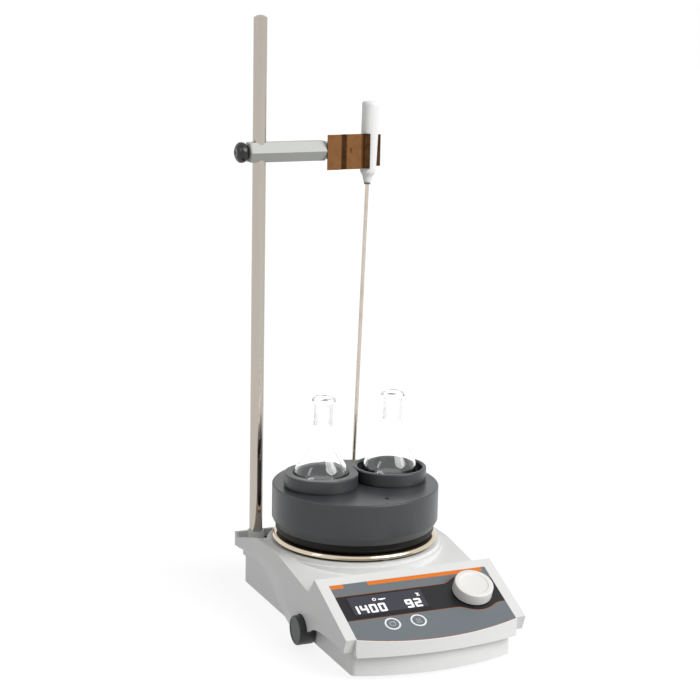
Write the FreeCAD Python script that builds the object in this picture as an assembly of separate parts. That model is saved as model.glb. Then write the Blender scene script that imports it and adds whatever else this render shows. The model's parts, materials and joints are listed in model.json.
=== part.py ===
import FreeCAD, Part
import math
import os
from FreeCAD import Vector as V

# Multi-well magnetic stirrer: a heated stirrer with a two-well carrier block, two round
# flasks, and a temperature probe clipped to a support rod.
# Millimetres. The table is Z = 0, the hot plate's axis is X = Y = 0, and the control
# panel faces -Y.

# Fits
running = 0.05
loose = 0.3
seam = 0.2

# Lower housing
base_width = 142.8
base_bottom = 4.0
base_top = 29.0
base_wall = 3.0
base_corner = 5.0
base_front = -161.2
base_bulge = 13.5
rear_face = 86.0
ledge_bottom = 6.5
ledge_top = 8.5
ledge_width = 10.5
cover_thickness = 1.5
cover_gap = 0.5
vent_rows = 7
vent_pitch = 10.0
vent_rear = 30.0
vent_x = 33.0
vent_length = 22.0
vent_width = 3.0

# Screws and feet under the lower housing
screw_inset = 8.6
screw_front = -106.0
screw_rear = 52.0
screw_r = 1.5
screw_hole_r = 1.9
screw_head_r = 3.4
screw_head_height = 2.0
screw_length = 18.0
screw_boss_r = 4.5
foot_inset = 21.4
foot_front = -138.0
foot_rear = 66.0
foot_r = 7.5
foot_chamfer = 0.8

# Upper housing
housing_width = 161.0
shell = 3.0
deck_top = 62.6
deck_front = -21.0
deck_rear = 27.0
deck_end = 75.0
deck_low = 45.0
deck_blend = 60.0
deck_foot_blend = 25.0
rim_low = 47.5
rim_dip = 80.3
rear_rim_top = 51.5
rim_thickness = 2.5
rim_bed = 6.0
rim_start = 5.0
rim_ease = 0.4
notch_y = -89.5
notch_z = 52.0

# Side walls: they flare out from the lower housing behind the front wings
skirt_proud = 1.0
flare_start = 33.0
flare_end = 37.5
flare_mid_y = 58.0
flare_mid_end = 43.0
wing_rear = 34.0
wing_top = 50.0
wing_low_y = 6.0
wing_low = 20.0
wing_front = -21.0
wing_front_top = 44.0
wing_slope = 0.85
wing_fade = 20.0
arch_rear = (-84.0, 12.0)
arch_rise = (-99.3, 22.4)
arch_shoulder = (-120.5, 26.5)
arch_crown = (-147.6, 26.8)

# Control panel
panel_back_y = -103.0
panel_back_z = 67.0
panel_angle = 23.56
panel_length = 72.5
post_width = 8.5
post_foot_y = -164.0
post_foot_z = 24.7
lip_bulge = 9.7
lip_bottom = 22.5
lip_depth = 10.5
foil_half = 71.2
foil_back = 9.3
foil_front = 73.0
foil_bulge = 10.0
foil_thickness = 0.6
window_left = -64.0
window_right = 4.0
window_back = 24.6
window_front = 49.8
display_depth = 9.4
board_depth = 10.0
board_thickness = 1.6
board_half = 68.0
board_back = 16.0
board_front = 64.0
board_post_x = 64.0
board_post_r = 3.0
board_post_inset = 5.0
board_screw_r = 1.2
board_head_r = 2.4
board_head_height = 1.6
board_screw_end = 5.0
chip_width = 14.0
chip_height = 2.4
button_x = (-35.0, -12.0)
button_s = 60.7
button_r = 6.6
button_stem_r = 2.3
button_travel = 0.4
button_recess = 1.5
key_size = 6.0
key_height = 4.0
selector_x = 46.8
selector_s = 37.0
selector_r = 16.75
selector_height = 9.4
selector_gap = 0.6
selector_dish_r = 12.4
selector_wall = 2.2
selector_hub_r = 6.0
encoder_size = 13.0
encoder_height = 5.0
encoder_shaft_r = 3.0
encoder_bush_r = 3.9
encoder_grip = 6.0
encoder_floor = 1.2
encoder_bush_drop = 0.3
encoder_travel = 0.5
plunger_height = 1.0

# Mains switch on the left side
switch_y = -76.0
switch_z = 14.5
switch_knob_r = 12.5
switch_face_x = -86.5
switch_face_wall = 3.0
switch_clearance = 0.8
switch_shaft_r = 3.0
switch_case_length = 18.0
switch_case_width = 20.0
switch_case_height = 12.9

# Hot plate and what is under it
plate_r = 72.5
plate_bottom = 65.5
plate_top = 69.5
plate_edge = 3.0
collar_r = 74.5
collar_top = 63.5
collar_step_r = 77.5
collar_step_top = 60.5
pan_r = 70.0
pan_floor = 52.0
wire_hole_r = 4.0
wire_hole_circle = 30.0
wire_hole_angles = (115.0, 149.0)
heater_r = 60.0
heater_hole_r = 18.0
heater_height = 5.5
insulation_r = 62.0
insulation_hole_r = 14.0
insulation_height = 5.0
standoff_r = 3.0
standoff_circle = 66.0

# Stirring drive
bracket_x = 38.0
bracket_y = 34.0
bracket_thickness = 2.0
bracket_foot = 6.0
motor_r = 28.0
motor_bottom = 12.0
motor_top = 34.0
motor_step = 3.0
motor_neck_r = 9.0
motor_shaft_r = 4.0
motor_bore_floor = 6.0
rotor_r = 34.0
rotor_bottom = 37.0
rotor_thickness = 4.0
rotor_width = 30.0
magnet_circle = 24.0
magnet_r = 8.0
magnet_height = 6.0

# Power board in front of the motor
power_switch_gap = 2.4
power_inset = 19.4
power_front = -122.0
power_rear = -46.0
power_foot_r = 3.0
power_foot_inset = 4.0
transformer_size = 30.0
transformer_height = 13.0
capacitor_r = 6.0
capacitor_height = 12.0
capacitor_x = (-20.0, -34.0)
capacitor_y = -100.0

# Carrier block and its centring ring
block_r = 73.0
block_top = 114.0
block_chamfer_top = 84.0
block_foot_r = 69.6
block_edge = 1.0
ring_top = 77.5
ring_inner_r = 60.0
ring_foot_r = 66.0
well_x = 32.8
well_r = 31.2
well_floor = 80.0
sensor_bore_x = 5.0
sensor_bore_y = -55.5
sensor_bore_r = 2.1
sensor_bore_depth = 36.0

# Well inserts
insert_r = 30.9
insert_collar_r = 32.4
insert_collar_bottom = 115.4
insert_top = 126.2
insert_edge = 0.8
wide_well_r = 28.8
wide_well_floor = 110.0

# Flasks and stirring bars
ball_r = 24.0
ball_z = 122.0
glass = 1.4
shoulder_angle = 52.0
neck_r = 9.85
neck_low = 148.0
joint_r = 8.3
joint_low = 168.0
joint_step = 3.0
bead_r = 10.75
bead_height = 5.0
flask_top = 193.0
stir_bar_r = 2.6
stir_bar_length = 15.0
stir_bar_edge = 1.2

# Support rod
rod_inset = 8.4
rod_y = 78.5
rod_r = 6.0
rod_top = 514.5
rod_dome = 2.5
rod_seat = 40.0
boss_r = 7.4
boss_wall = 2.0
boss_top = 53.4
boss_bottom = 37.0
stud_r = 2.5
stud_bottom = 29.0
nut_flats = 8.0
nut_corner_r = 4.35
nut_height = 4.7

# Clamp arm
arm_z = 396.6
arm_half = 8.6
arm_left = -74.0
arm_right = 1.3
arm_bevel = 3.6
arm_nose = 1.4
tongue_half = 7.0
tongue_end = 31.0
clamp_knob_r = 9.2
clamp_knob_length = 10.8
clamp_screw_r = 3.45
clamp_screw_grip = 6.0
clamp_pin_r = 1.2
clamp_travel = 1.0
pad_r = 3.4
pad_length = 2.25

# Probe clip
clip_height = 31.0
clip_drop = 1.1
clip_sheet = 1.0
clip_knee = 9.7
clip_flat = 13.2
clip_grip_r = 8.05
clip_grip_start = 146.0
clip_grip_end = 48.0
clip_end = 54.7
rivet_x = 23.0
rivet_r = 1.5
rivet_head_r = 2.6
rivet_head_height = 0.9

# Temperature probe
probe_x = 42.6
probe_lean = 1.95
probe_top = 439.0
handle_top_r = 7.9
handle_low_r = 7.3
handle_low = 380.0
handle_tip = 367.0
handle_tip_r = 3.4
handle_edge = 2.0
probe_collar_r = 2.9
probe_collar_height = 1.8
stem_r = 1.75
stem_grip = 25.0
stem_tip = 107.3
stem_point = 1.2

# Rear panel and its sockets
rear_left_inset = 17.4
rear_right_inset = 7.4
rear_bottom = 9.2
grille_x = (-4.0, 2.0, 8.0)
grille_width = 2.4
grille_low = 14.0
grille_high = 34.0
inlet_inset = 30.0
inlet_z = 24.0
inlet_half_w = 12.6
inlet_half_h = 8.6
inlet_depth = 20.0
inlet_wall = 2.0
inlet_flange = 1.6
inlet_pin_step = 7.0
inlet_pin_length = 14.0
socket_inset = 30.0
socket_z = 24.0
socket_r = 6.6
socket_wall = 1.5
socket_depth = 8.0
socket_flange = 1.4
socket_pins = 5
socket_pin_circle = 4.0
socket_pin_r = 0.5

X_AXIS = V(1, 0, 0)
Y_AXIS = V(0, 1, 0)
Z_AXIS = V(0, 0, 1)
half_width = housing_width / 2
base_half = base_width / 2
rod_x = -base_half + rod_inset
screw_x = base_half - screw_inset
foot_x = base_half - foot_inset
power_left = -base_half + base_wall + switch_case_length + power_switch_gap
power_right = base_half - power_inset
rear_left = -base_half + rear_left_inset
rear_right = base_half - rear_right_inset
inlet_x = rear_right - inlet_inset
socket_x = rear_left + socket_inset
cover_bottom = ledge_bottom - cover_thickness
panel_slope = math.radians(panel_angle)
panel_front_y = panel_back_y - panel_length * math.cos(panel_slope)
panel_front_z = panel_back_z - panel_length * math.sin(panel_slope)
plunger_rest = -board_depth + encoder_floor + seam + encoder_travel
rotor_top = rotor_bottom + rotor_thickness
pad_face = rod_x - rod_r - running
pad_back = pad_face - pad_length
screw_end = pad_back - clamp_travel - seam
trim_floor = -10.0
beyond = 100.0


def box(x0, x1, y0, y1, z0, z1):
    return Part.makeBox(x1 - x0, y1 - y0, z1 - z0, V(x0, y0, z0))


def cyl(r, z0, z1, x=0.0, y=0.0):
    return Part.makeCylinder(r, z1 - z0, V(x, y, z0), Z_AXIS)


def cyl_x(r, x0, x1, y, z):
    return Part.makeCylinder(r, x1 - x0, V(x0, y, z), X_AXIS)


def cyl_y(r, y0, y1, x, z):
    return Part.makeCylinder(r, y1 - y0, V(x, y0, z), Y_AXIS)


def ring(r_out, r_in, z0, z1, x=0.0, y=0.0):
    return cyl(r_out, z0, z1, x, y).cut(cyl(r_in, z0 - 1, z1 + 1, x, y))


def face_of(points):
    return Part.Face(Part.makePolygon(points + [points[0]]))


def side_prism(points, x0, x1):
    """A side view given as (y, z) points, carried from x0 to x1."""
    return face_of([V(x0, y, z) for y, z in points]).extrude(V(x1 - x0, 0, 0))


def revolve(points, x=0.0, y=0.0):
    """A closed half section given as (r, z) points, turned about a vertical axis."""
    turned = face_of([V(r, 0, z) for r, z in points]).revolve(V(0, 0, 0), Z_AXIS, 360)
    turned.translate(V(x, y, 0))
    return turned


def corner_arc(before, corner, after, r):
    """Where an arc tangent to both sides of a corner starts, peaks and ends."""
    back = (before - corner).normalize()
    ahead = (after - corner).normalize()
    half = back.getAngle(ahead) / 2
    reach = r / math.tan(half)
    peak = corner + (back + ahead).normalize() * (r / math.sin(half) - r)
    return corner + back * reach, peak, corner + ahead * reach


def rounded_wire(points, radii):
    """A closed outline whose corners have the given radii, 0 for a sharp one."""
    after = points[1:] + points[:1]
    before = points[-1:] + points[:-1]
    arcs = [corner_arc(*places) for places in zip(before, points, after, radii)]
    edges = []
    for i, (start, peak, end) in enumerate(arcs):
        if radii[i] > 0:
            edges.append(Part.Arc(start, peak, end).toShape())
        edges.append(Part.makeLine(end, arcs[(i + 1) % len(arcs)][0]))
    return Part.Wire(edges)


def lines_through(points):
    return [Part.makeLine(a, b) for a, b in zip(points[:-1], points[1:])]


def on_panel(shape):
    """Moves a shape from panel axes (x, up the slope, off the panel) to its place."""
    placed = shape.copy()
    placed.rotate(V(0, 0, 0), X_AXIS, panel_angle)
    placed.translate(V(0, panel_back_y, panel_back_z))
    return placed


def above_panel():
    return on_panel(box(-beyond, beyond, -2 * beyond, 2 * beyond, 0, beyond))


def bowed_outline(half, back, front, bulge, z):
    """A rectangle whose front edge bows forward by bulge."""
    arc = Part.Arc(V(-half, front, z), V(0, front - bulge, z), V(half, front, z)).toShape()
    right = Part.makeLine(V(half, front, z), V(half, back, z))
    rear = Part.makeLine(V(half, back, z), V(-half, back, z))
    left = Part.makeLine(V(-half, back, z), V(-half, front, z))
    return Part.Face(Part.Wire([arc, right, rear, left]))


def base_prism(inset, z0, z1):
    outline = bowed_outline(base_half, rear_face, base_front, base_bulge, z0)
    solid = outline.extrude(V(0, 0, z1 - z0))
    corners = [e for e in solid.Edges if abs(e.tangentAt(e.FirstParameter).z) > 0.99]
    solid = solid.makeFillet(base_corner, corners)
    if inset == 0:
        return solid
    floor = [f for f in solid.Faces if abs(f.normalAt(0, 0).z) > 0.99][0]
    wire = floor.OuterWire.makeOffset2D(-inset)
    wire.translate(V(0, 0, z0 - wire.BoundBox.ZMin))
    return Part.Face(wire).extrude(V(0, 0, z1 - z0))


def screw_places():
    return [(x, y) for x in (-screw_x, screw_x) for y in (screw_front, screw_rear)]


def rear_opening(clearance):
    return box(rear_left - clearance, rear_right + clearance, rear_face - 10, rear_face + 10,
               rear_bottom - clearance, rear_rim_top + 10)


def base_housing():
    walls = base_prism(0, base_bottom, base_top)
    walls = walls.cut(base_prism(base_wall, base_bottom - 1, base_top + 1))
    ledge = base_prism(base_wall, ledge_bottom, ledge_top)
    ledge = ledge.cut(base_prism(base_wall + ledge_width, ledge_bottom - 1, ledge_top + 1))
    body = walls.fuse(ledge)
    for x, y in screw_places():
        body = body.cut(cyl(screw_hole_r, 0, base_top, x, y))
    body = body.cut(cyl_x(switch_shaft_r + 2 * loose, -base_half - 5, -base_half + 10, switch_y, switch_z))
    return body.cut(rear_opening(seam)).removeSplitter()


def bottom_cover():
    plate = base_prism(base_wall + cover_gap, cover_bottom, ledge_bottom)
    for x, y in screw_places():
        plate = plate.cut(cyl(screw_hole_r, 0, base_top, x, y))
    slots = []
    for row in range(vent_rows):
        y = vent_rear - row * vent_pitch
        for x in (-vent_x, vent_x):
            slots.append(box(x - vent_length / 2, x + vent_length / 2, y - vent_width / 2, y + vent_width / 2,
                             0, base_top))
    return plate.cut(slots)


def housing_screws():
    made = []
    for x, y in screw_places():
        head = cyl(screw_head_r, cover_bottom - screw_head_height, cover_bottom, x, y)
        shaft = cyl(screw_r, cover_bottom, cover_bottom + screw_length, x, y)
        made.append(head.fuse(shaft).removeSplitter())
    return Part.makeCompound(made)


def rubber_feet():
    section = [(0, 0), (foot_r - 2 * foot_chamfer, 0), (foot_r - foot_chamfer, foot_chamfer),
               (foot_r, cover_bottom), (0, cover_bottom)]
    return Part.makeCompound([revolve(section, x, y) for x in (-foot_x, foot_x) for y in (foot_front, foot_rear)])


def deck_prism(inset):
    """The upper housing's side view, from the rear foot over the deck to the front post."""
    half = half_width - inset
    rear = rear_face - inset
    under_panel = panel_back_z - inset / math.cos(panel_slope)
    corners = [(rear, trim_floor, 0), (rear, deck_low - inset, 0), (deck_end, deck_low - inset, deck_foot_blend),
               (deck_rear, deck_top - inset, deck_blend), (deck_front, deck_top - inset, deck_blend),
               (notch_y, notch_z - inset, 0), (panel_back_y, under_panel, 0),
               (panel_front_y + inset, panel_front_z - inset * math.cos(panel_slope), 0),
               (post_foot_y + inset, post_foot_z, 0), (post_foot_y + inset, trim_floor, 0)]
    wire = rounded_wire([V(-half, y, z) for y, z, r in corners], [r for y, z, r in corners])
    return Part.Face(wire).extrude(V(2 * half, 0, 0))


def flare_section(side, inset, y, low, high):
    """The space outside the side wall at one station along the housing."""
    near = side * (base_half + skirt_proud - inset)
    far = side * (half_width - inset)
    away = side * (half_width + beyond)
    corners = [V(near, y, -beyond), V(near, y, low), V(far, y, high), V(away, y, high), V(away, y, -beyond)]
    return Part.makePolygon(corners + [corners[0]])


def flare_tool(side, inset):
    """Narrows the rear of the housing under its rim and runs out along the front wing."""
    fade = [wing_front - wing_fade * step / wing_slope for step in (1, 2)]
    stations = [(rear_face + 6, flare_start, flare_end), (flare_mid_y, flare_start, flare_mid_end),
                (wing_rear, flare_start, wing_top), (wing_low_y, wing_low, wing_top),
                (wing_front, base_bottom, wing_front_top),
                (fade[0], base_bottom - wing_fade, wing_front_top - wing_fade),
                (fade[1], base_bottom - 2.5 * wing_fade, wing_front_top - 2 * wing_fade)]
    sections = [flare_section(side, inset, y, low, high) for y, low, high in stations]
    return Part.makeLoft(sections, True, True)


def arch_tool(side):
    """The arched opening low on the front wing, outside the lower housing."""
    front = (post_foot_y - 8, post_foot_z)
    places = [V(0, y, z) for y, z in (arch_rear, arch_rise, arch_shoulder, arch_crown, front)]
    curve = Part.BSplineCurve()
    curve.interpolate(places)
    below = [places[-1], V(0, front[0], -beyond), V(0, arch_rear[0], -beyond), places[0]]
    outline = Part.Wire([curve.toShape()] + lines_through(below))
    width = half_width - base_half + 5
    solid = Part.Face(outline).extrude(V(width, 0, 0))
    solid.translate(V(base_half if side > 0 else -base_half - width, 0, 0))
    return solid


def parting_points():
    """Side view of what lies under the parting line, behind the front wings."""
    behind = rear_face + 20
    return [(behind, base_top), (wing_rear, base_top), (wing_front, base_bottom), (wing_front, -beyond),
            (behind, -beyond)]


def housing_outside(inset):
    body = deck_prism(inset)
    for side in (-1, 1):
        body = body.cut(flare_tool(side, inset))
    return body


def front_lip():
    front = panel_front_y - 1
    outline = bowed_outline(half_width - post_width, front + lip_depth, front, lip_bulge, lip_bottom)
    return outline.extrude(V(0, 0, panel_back_z - lip_bottom)).cut(above_panel())


def rims():
    """The raised border along both sides and the rear of the sunken rear deck."""
    low = deck_low - rim_bed
    start = deck_rear - rim_start
    side_view = [(start, deck_top - rim_bed), (start, deck_top), (deck_rear + rim_start / 2, deck_top - rim_ease),
                 (rim_dip, rim_low), (rear_face - shell, rear_rim_top), (rear_face, rear_rim_top),
                 (rear_face, low), (deck_end, low)]
    left = side_prism(side_view, -half_width, -half_width + rim_thickness)
    right = side_prism(side_view, half_width - rim_thickness, half_width)
    rear = box(-half_width, half_width, rear_face - shell, rear_face, low, rear_rim_top)
    return left.fuse([right, rear])


def foil_outline(grow, n):
    """The foil's outline in panel axes, at height n off the panel."""
    return bowed_outline(foil_half + grow, -foil_back + grow, -foil_front - grow, foil_bulge, n)


def board_posts():
    along = (board_back + board_post_inset, board_front - board_post_inset)
    return [(x, -s) for x in (-board_post_x, board_post_x) for s in along]


def panel_cuts():
    """Openings in the panel, in panel axes: foil recess, display window, stems and shaft."""
    deep = -2 * board_depth
    cuts = [foil_outline(2 * running, -foil_thickness).extrude(V(0, 0, board_depth))]
    cuts.append(box(window_left - seam, window_right + seam, -window_front - seam, -window_back + seam, deep, 1))
    for x in button_x:
        cuts.append(cyl(button_r + loose, -button_recess, 1, x, -button_s))
        cuts.append(cyl(button_stem_r + loose, deep, 1, x, -button_s))
    cuts.append(cyl(encoder_bush_r + loose, deep, 1, selector_x, -selector_s))
    return [on_panel(cut) for cut in cuts]


def plate_pan(cavity):
    """The round collar that rises from the deck under the hot plate, with its sunken floor."""
    low = deck_low - 2
    skirt = cyl(collar_r, low, collar_top).fuse(cyl(collar_step_r, low, collar_step_top))
    return cyl(collar_r, pan_floor - shell, collar_top).fuse(skirt.cut(cavity))


def upper_housing():
    outside = housing_outside(0)
    cavity = housing_outside(shell)
    body = outside.cut(cavity).fuse([rims(), plate_pan(cavity), front_lip()])
    body = body.cut(cyl(pan_r, pan_floor, beyond))
    body = body.cut(base_prism(0, 3 * trim_floor, base_top))
    body = body.cut(side_prism(parting_points(), -beyond, beyond))
    body = body.cut(box(-beyond, beyond, base_front - beyond, base_front + 1, 3 * trim_floor, lip_bottom))
    for side in (-1, 1):
        body = body.cut(arch_tool(side))
    body = body.cut(box(-beyond, beyond, base_front - beyond, beyond, 6 * trim_floor, base_bottom))
    body = body.cut(cyl_x(switch_knob_r + switch_clearance, -beyond, -base_half, switch_y, switch_z))
    bosses = [cyl(screw_boss_r, ledge_top, beyond, x, y) for x, y in screw_places()]
    bosses += [on_panel(cyl(board_post_r, -board_depth, -1, x, y)) for x, y in board_posts()]
    bosses.append(cyl(boss_r + boss_wall, boss_bottom, beyond, rod_x, rod_y))
    body = body.fuse([boss.common(outside) for boss in bosses])
    body = body.fuse(cyl(boss_r, deck_low - 1, boss_top, rod_x, rod_y))
    body = body.cut(cyl(rod_r + running, rod_seat, beyond, rod_x, rod_y))
    body = body.cut(cyl(stud_r + running, 0, beyond, rod_x, rod_y))
    for x, y in screw_places():
        body = body.cut(cyl(screw_r + running, 0, cover_bottom + screw_length + 2, x, y))
    body = body.cut([on_panel(cyl(board_screw_r + running, -2 * board_depth, -board_screw_end + 1, x, y))
                     for x, y in board_posts()])
    body = body.cut(panel_cuts())
    for degrees in wire_hole_angles:
        angle = math.radians(degrees)
        body = body.cut(cyl(wire_hole_r, base_top, pan_floor + 1, wire_hole_circle * math.cos(angle),
                            wire_hole_circle * math.sin(angle)))
    return body.cut(rear_opening(seam)).removeSplitter()


def foil():
    sheet = foil_outline(0, -foil_thickness).extrude(V(0, 0, foil_thickness))
    sheet = sheet.cut(box(window_left, window_right, -window_front, -window_back, -2, 2))
    for x in button_x:
        sheet = sheet.cut(cyl(button_r + seam, -2, 2, x, -button_s))
    return on_panel(sheet.cut(cyl(encoder_bush_r + loose, -2, 2, selector_x, -selector_s)))


def display_window():
    return on_panel(box(window_left + 0.15, window_right - 0.15, -window_front + 0.15,
                        -window_back - 0.15, -foil_thickness, 0))


def display_module():
    return on_panel(box(window_left + 0.4, window_right - 0.4, -window_front + 0.4, -window_back - 0.4,
                        -board_depth, -board_depth + display_depth))


def control_board():
    board = box(-board_half, board_half, -board_front, -board_back, -board_depth - board_thickness,
                -board_depth)
    under = -board_depth - board_thickness
    middle = (board_back + board_front) / 2
    chips = [box(x, x + chip_width, -middle, -middle + chip_width, under - chip_height, under)
             for x in (-chip_width * 1.5, chip_width * 0.5)]
    board = board.fuse(chips)
    for x, y in board_posts():
        board = board.cut(cyl(board_screw_r + seam, -2 * board_depth, 0, x, y))
    return on_panel(board)


def board_screws():
    low = -board_depth - board_thickness
    made = []
    for x, y in board_posts():
        head = cyl(board_head_r, low - board_head_height, low, x, y)
        made.append(on_panel(head.fuse(cyl(board_screw_r, low, -board_screw_end, x, y)).removeSplitter()))
    return Part.makeCompound(made)


def key_switches():
    low = -board_depth
    half = key_size / 2
    return Part.makeCompound([on_panel(box(x - half, x + half, -button_s - half, -button_s + half, low,
                                           low + key_height)) for x in button_x])


def button(index):
    x = button_x[index]
    cap = cyl(button_r, -foil_thickness, 0, x, -button_s)
    low = -board_depth + key_height + button_travel + 2 * running
    stem = cyl(button_stem_r, low, -foil_thickness, x, -button_s)
    return on_panel(cap.fuse(stem).removeSplitter())


def encoder_body():
    low = -board_depth
    half = encoder_size / 2
    case = box(selector_x - half, selector_x + half, -selector_s - half, -selector_s + half, low,
               low + encoder_height)
    bush = cyl(encoder_bush_r, low + encoder_height, -encoder_bush_drop, selector_x, -selector_s)
    hole = cyl(encoder_shaft_r + running, low + encoder_floor, selector_height, selector_x, -selector_s)
    return on_panel(case.fuse(bush).cut(hole).removeSplitter())


def encoder_plunger():
    low = plunger_rest
    return on_panel(cyl(encoder_shaft_r - 2 * running, low, low + plunger_height, selector_x, -selector_s))


def encoder_shaft():
    low = plunger_rest + plunger_height + loose
    return on_panel(cyl(encoder_shaft_r, low, selector_gap + encoder_grip, selector_x, -selector_s))


def selector_knob():
    low = selector_gap
    high = selector_gap + selector_height
    r = selector_r
    hub = selector_hub_r
    wall = r - selector_wall
    top = low + encoder_grip
    section = [(encoder_shaft_r, low), (hub, low), (hub, low + 2), (wall, low + 2), (wall, low), (r, low),
               (r - 0.35, high - 0.9), (r - 1.2, high), (selector_dish_r, high), (selector_dish_r - 0.8, high - 0.6),
               (0, high - 1), (0, top), (encoder_shaft_r, top)]
    return on_panel(revolve(section, selector_x, -selector_s))


def turned_x(points, y, z):
    """A half section given as (x, r) points, turned about an axis along X."""
    solid = face_of([V(x, 0, r) for x, r in points]).revolve(V(0, 0, 0), X_AXIS, 360)
    solid.translate(V(0, y, z))
    return solid


def switch_knob():
    x0 = switch_face_x
    r = switch_knob_r
    inner = -base_half - skirt_proud - loose
    bottom = x0 + switch_face_wall
    section = [(x0, 0), (x0, r - 2), (x0 + 0.6, r - 0.7), (x0 + 2, r), (inner, r), (inner, switch_shaft_r),
               (bottom, switch_shaft_r), (bottom, 0)]
    return turned_x(section, switch_y, switch_z)


def switch_shaft():
    inner_end = -base_half + base_wall + switch_case_length / 2
    return cyl_x(switch_shaft_r, switch_face_x + switch_face_wall, inner_end, switch_y, switch_z)


def switch_body():
    x0 = -base_half + base_wall
    half = switch_case_width / 2
    low = ledge_top + 2 * running
    case = box(x0, x0 + switch_case_length, switch_y - half, switch_y + half, low, low + switch_case_height)
    bore_end = x0 + switch_case_length / 2 + 1
    return case.cut(cyl_x(switch_shaft_r + running, x0 - 1, bore_end, switch_y, switch_z))


def hot_plate():
    edge = plate_edge
    mid = (plate_bottom + plate_top) / 2
    arc = Part.Arc(V(plate_r - edge, 0, plate_top), V(plate_r - 0.7, 0, mid + 0.9),
                   V(plate_r, 0, mid - 0.6)).toShape()
    corners = [V(plate_r, 0, mid - 0.6), V(plate_r, 0, plate_bottom), V(0, 0, plate_bottom),
               V(0, 0, plate_top), V(plate_r - edge, 0, plate_top)]
    return Part.Face(Part.Wire([arc] + lines_through(corners))).revolve(V(0, 0, 0), Z_AXIS, 360)


def heating_element():
    return ring(heater_r, heater_hole_r, plate_bottom - heater_height, plate_bottom)


def insulation_disc():
    return ring(insulation_r, insulation_hole_r, pan_floor, pan_floor + insulation_height)


def plate_standoffs():
    made = []
    for step in range(3):
        angle = math.radians(30 + 120 * step)
        x = standoff_circle * math.cos(angle)
        y = standoff_circle * math.sin(angle)
        made.append(cyl(standoff_r, pan_floor, plate_bottom, x, y))
    return Part.makeCompound(made)


def motor_bracket():
    low = motor_bottom - bracket_thickness
    plate = box(-bracket_x, bracket_x, -bracket_y, bracket_y, low, motor_bottom)
    for x in (-bracket_x, bracket_x - bracket_foot):
        for y in (-bracket_y, bracket_y - bracket_foot):
            plate = plate.fuse(box(x, x + bracket_foot, y, y + bracket_foot, ledge_bottom, low))
    return plate.removeSplitter()


def motor():
    step = motor_top - motor_step
    case = cyl(motor_r, motor_bottom, step).fuse(cyl(motor_r - motor_step, step, motor_top))
    case = case.fuse(cyl(motor_neck_r, motor_top, motor_top + 1))
    floor = motor_bottom + motor_bore_floor
    return case.cut(cyl(motor_shaft_r + running, floor, motor_top + 5)).removeSplitter()


def drive_rotor():
    hub = cyl(motor_neck_r, motor_top + 1 + loose, rotor_bottom)
    bar = cyl(rotor_r, rotor_bottom, rotor_top)
    bar = bar.common(box(-rotor_r, rotor_r, -rotor_width / 2, rotor_width / 2, rotor_bottom, rotor_top))
    shaft = cyl(motor_shaft_r, motor_bottom + motor_bore_floor + loose, rotor_top)
    return bar.fuse([hub, shaft]).removeSplitter()


def drive_magnets():
    return Part.makeCompound([cyl(magnet_r, rotor_top, rotor_top + magnet_height, x)
                              for x in (-magnet_circle, magnet_circle)])


def power_board():
    low = motor_bottom
    top = low + board_thickness
    board = box(power_left, power_right, power_front, power_rear, low, top)
    right = power_right - power_foot_inset
    front = power_front + power_foot_inset
    parts = [box(right - transformer_size, right, front, front + transformer_size, top, top + transformer_height)]
    parts += [cyl(capacitor_r, top, top + capacitor_height, x, capacitor_y) for x in capacitor_x]
    for x in (power_left + power_foot_inset, right):
        for y in (front, power_rear - power_foot_inset):
            parts.append(cyl(power_foot_r, ledge_bottom, low, x, y))
    return board.fuse(parts).removeSplitter()


def carrier_block():
    section = [(0, plate_top), (ring_inner_r, plate_top), (ring_inner_r, ring_top), (block_foot_r, ring_top),
               (block_r, block_chamfer_top), (block_r, block_top - block_edge),
               (block_r - block_edge, block_top), (0, block_top)]
    block = revolve(section)
    for x in (-well_x, well_x):
        block = block.cut(cyl(well_r, well_floor, block_top + 1, x, 0))
    for side in (-1, 1):
        block = block.cut(cyl(sensor_bore_r, block_top - sensor_bore_depth, block_top + 1,
                              sensor_bore_x, side * sensor_bore_y))
    return block


def centring_ring():
    low = plate_top + loose
    section = [(ring_inner_r, low), (ring_foot_r, low), (block_foot_r - 1, low + 2), (block_foot_r, low + 4.4),
               (block_foot_r, ring_top), (ring_inner_r, ring_top)]
    return revolve(section)


def insert_solid(x, opening_r, step_z):
    section = [(0, well_floor), (insert_r, well_floor), (insert_r, insert_collar_bottom),
               (insert_collar_r, insert_collar_bottom), (insert_collar_r, insert_top - insert_edge),
               (insert_collar_r - insert_edge, insert_top), (0, insert_top)]
    body = revolve(section, x, 0)
    bowl = Part.makeSphere(ball_r + loose, V(x, 0, ball_z))
    body = body.cut(bowl)
    body = body.cut(cyl(opening_r, step_z, insert_top + 1, x, 0))
    mouth = Part.makeCone(opening_r, opening_r + 1, 1, V(x, 0, insert_top - 1), Z_AXIS)
    return body.cut(mouth)


def well_insert_left():
    return insert_solid(-well_x, ball_r + loose, ball_z)


def well_insert_right():
    return insert_solid(well_x, wide_well_r, wide_well_floor)


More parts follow.
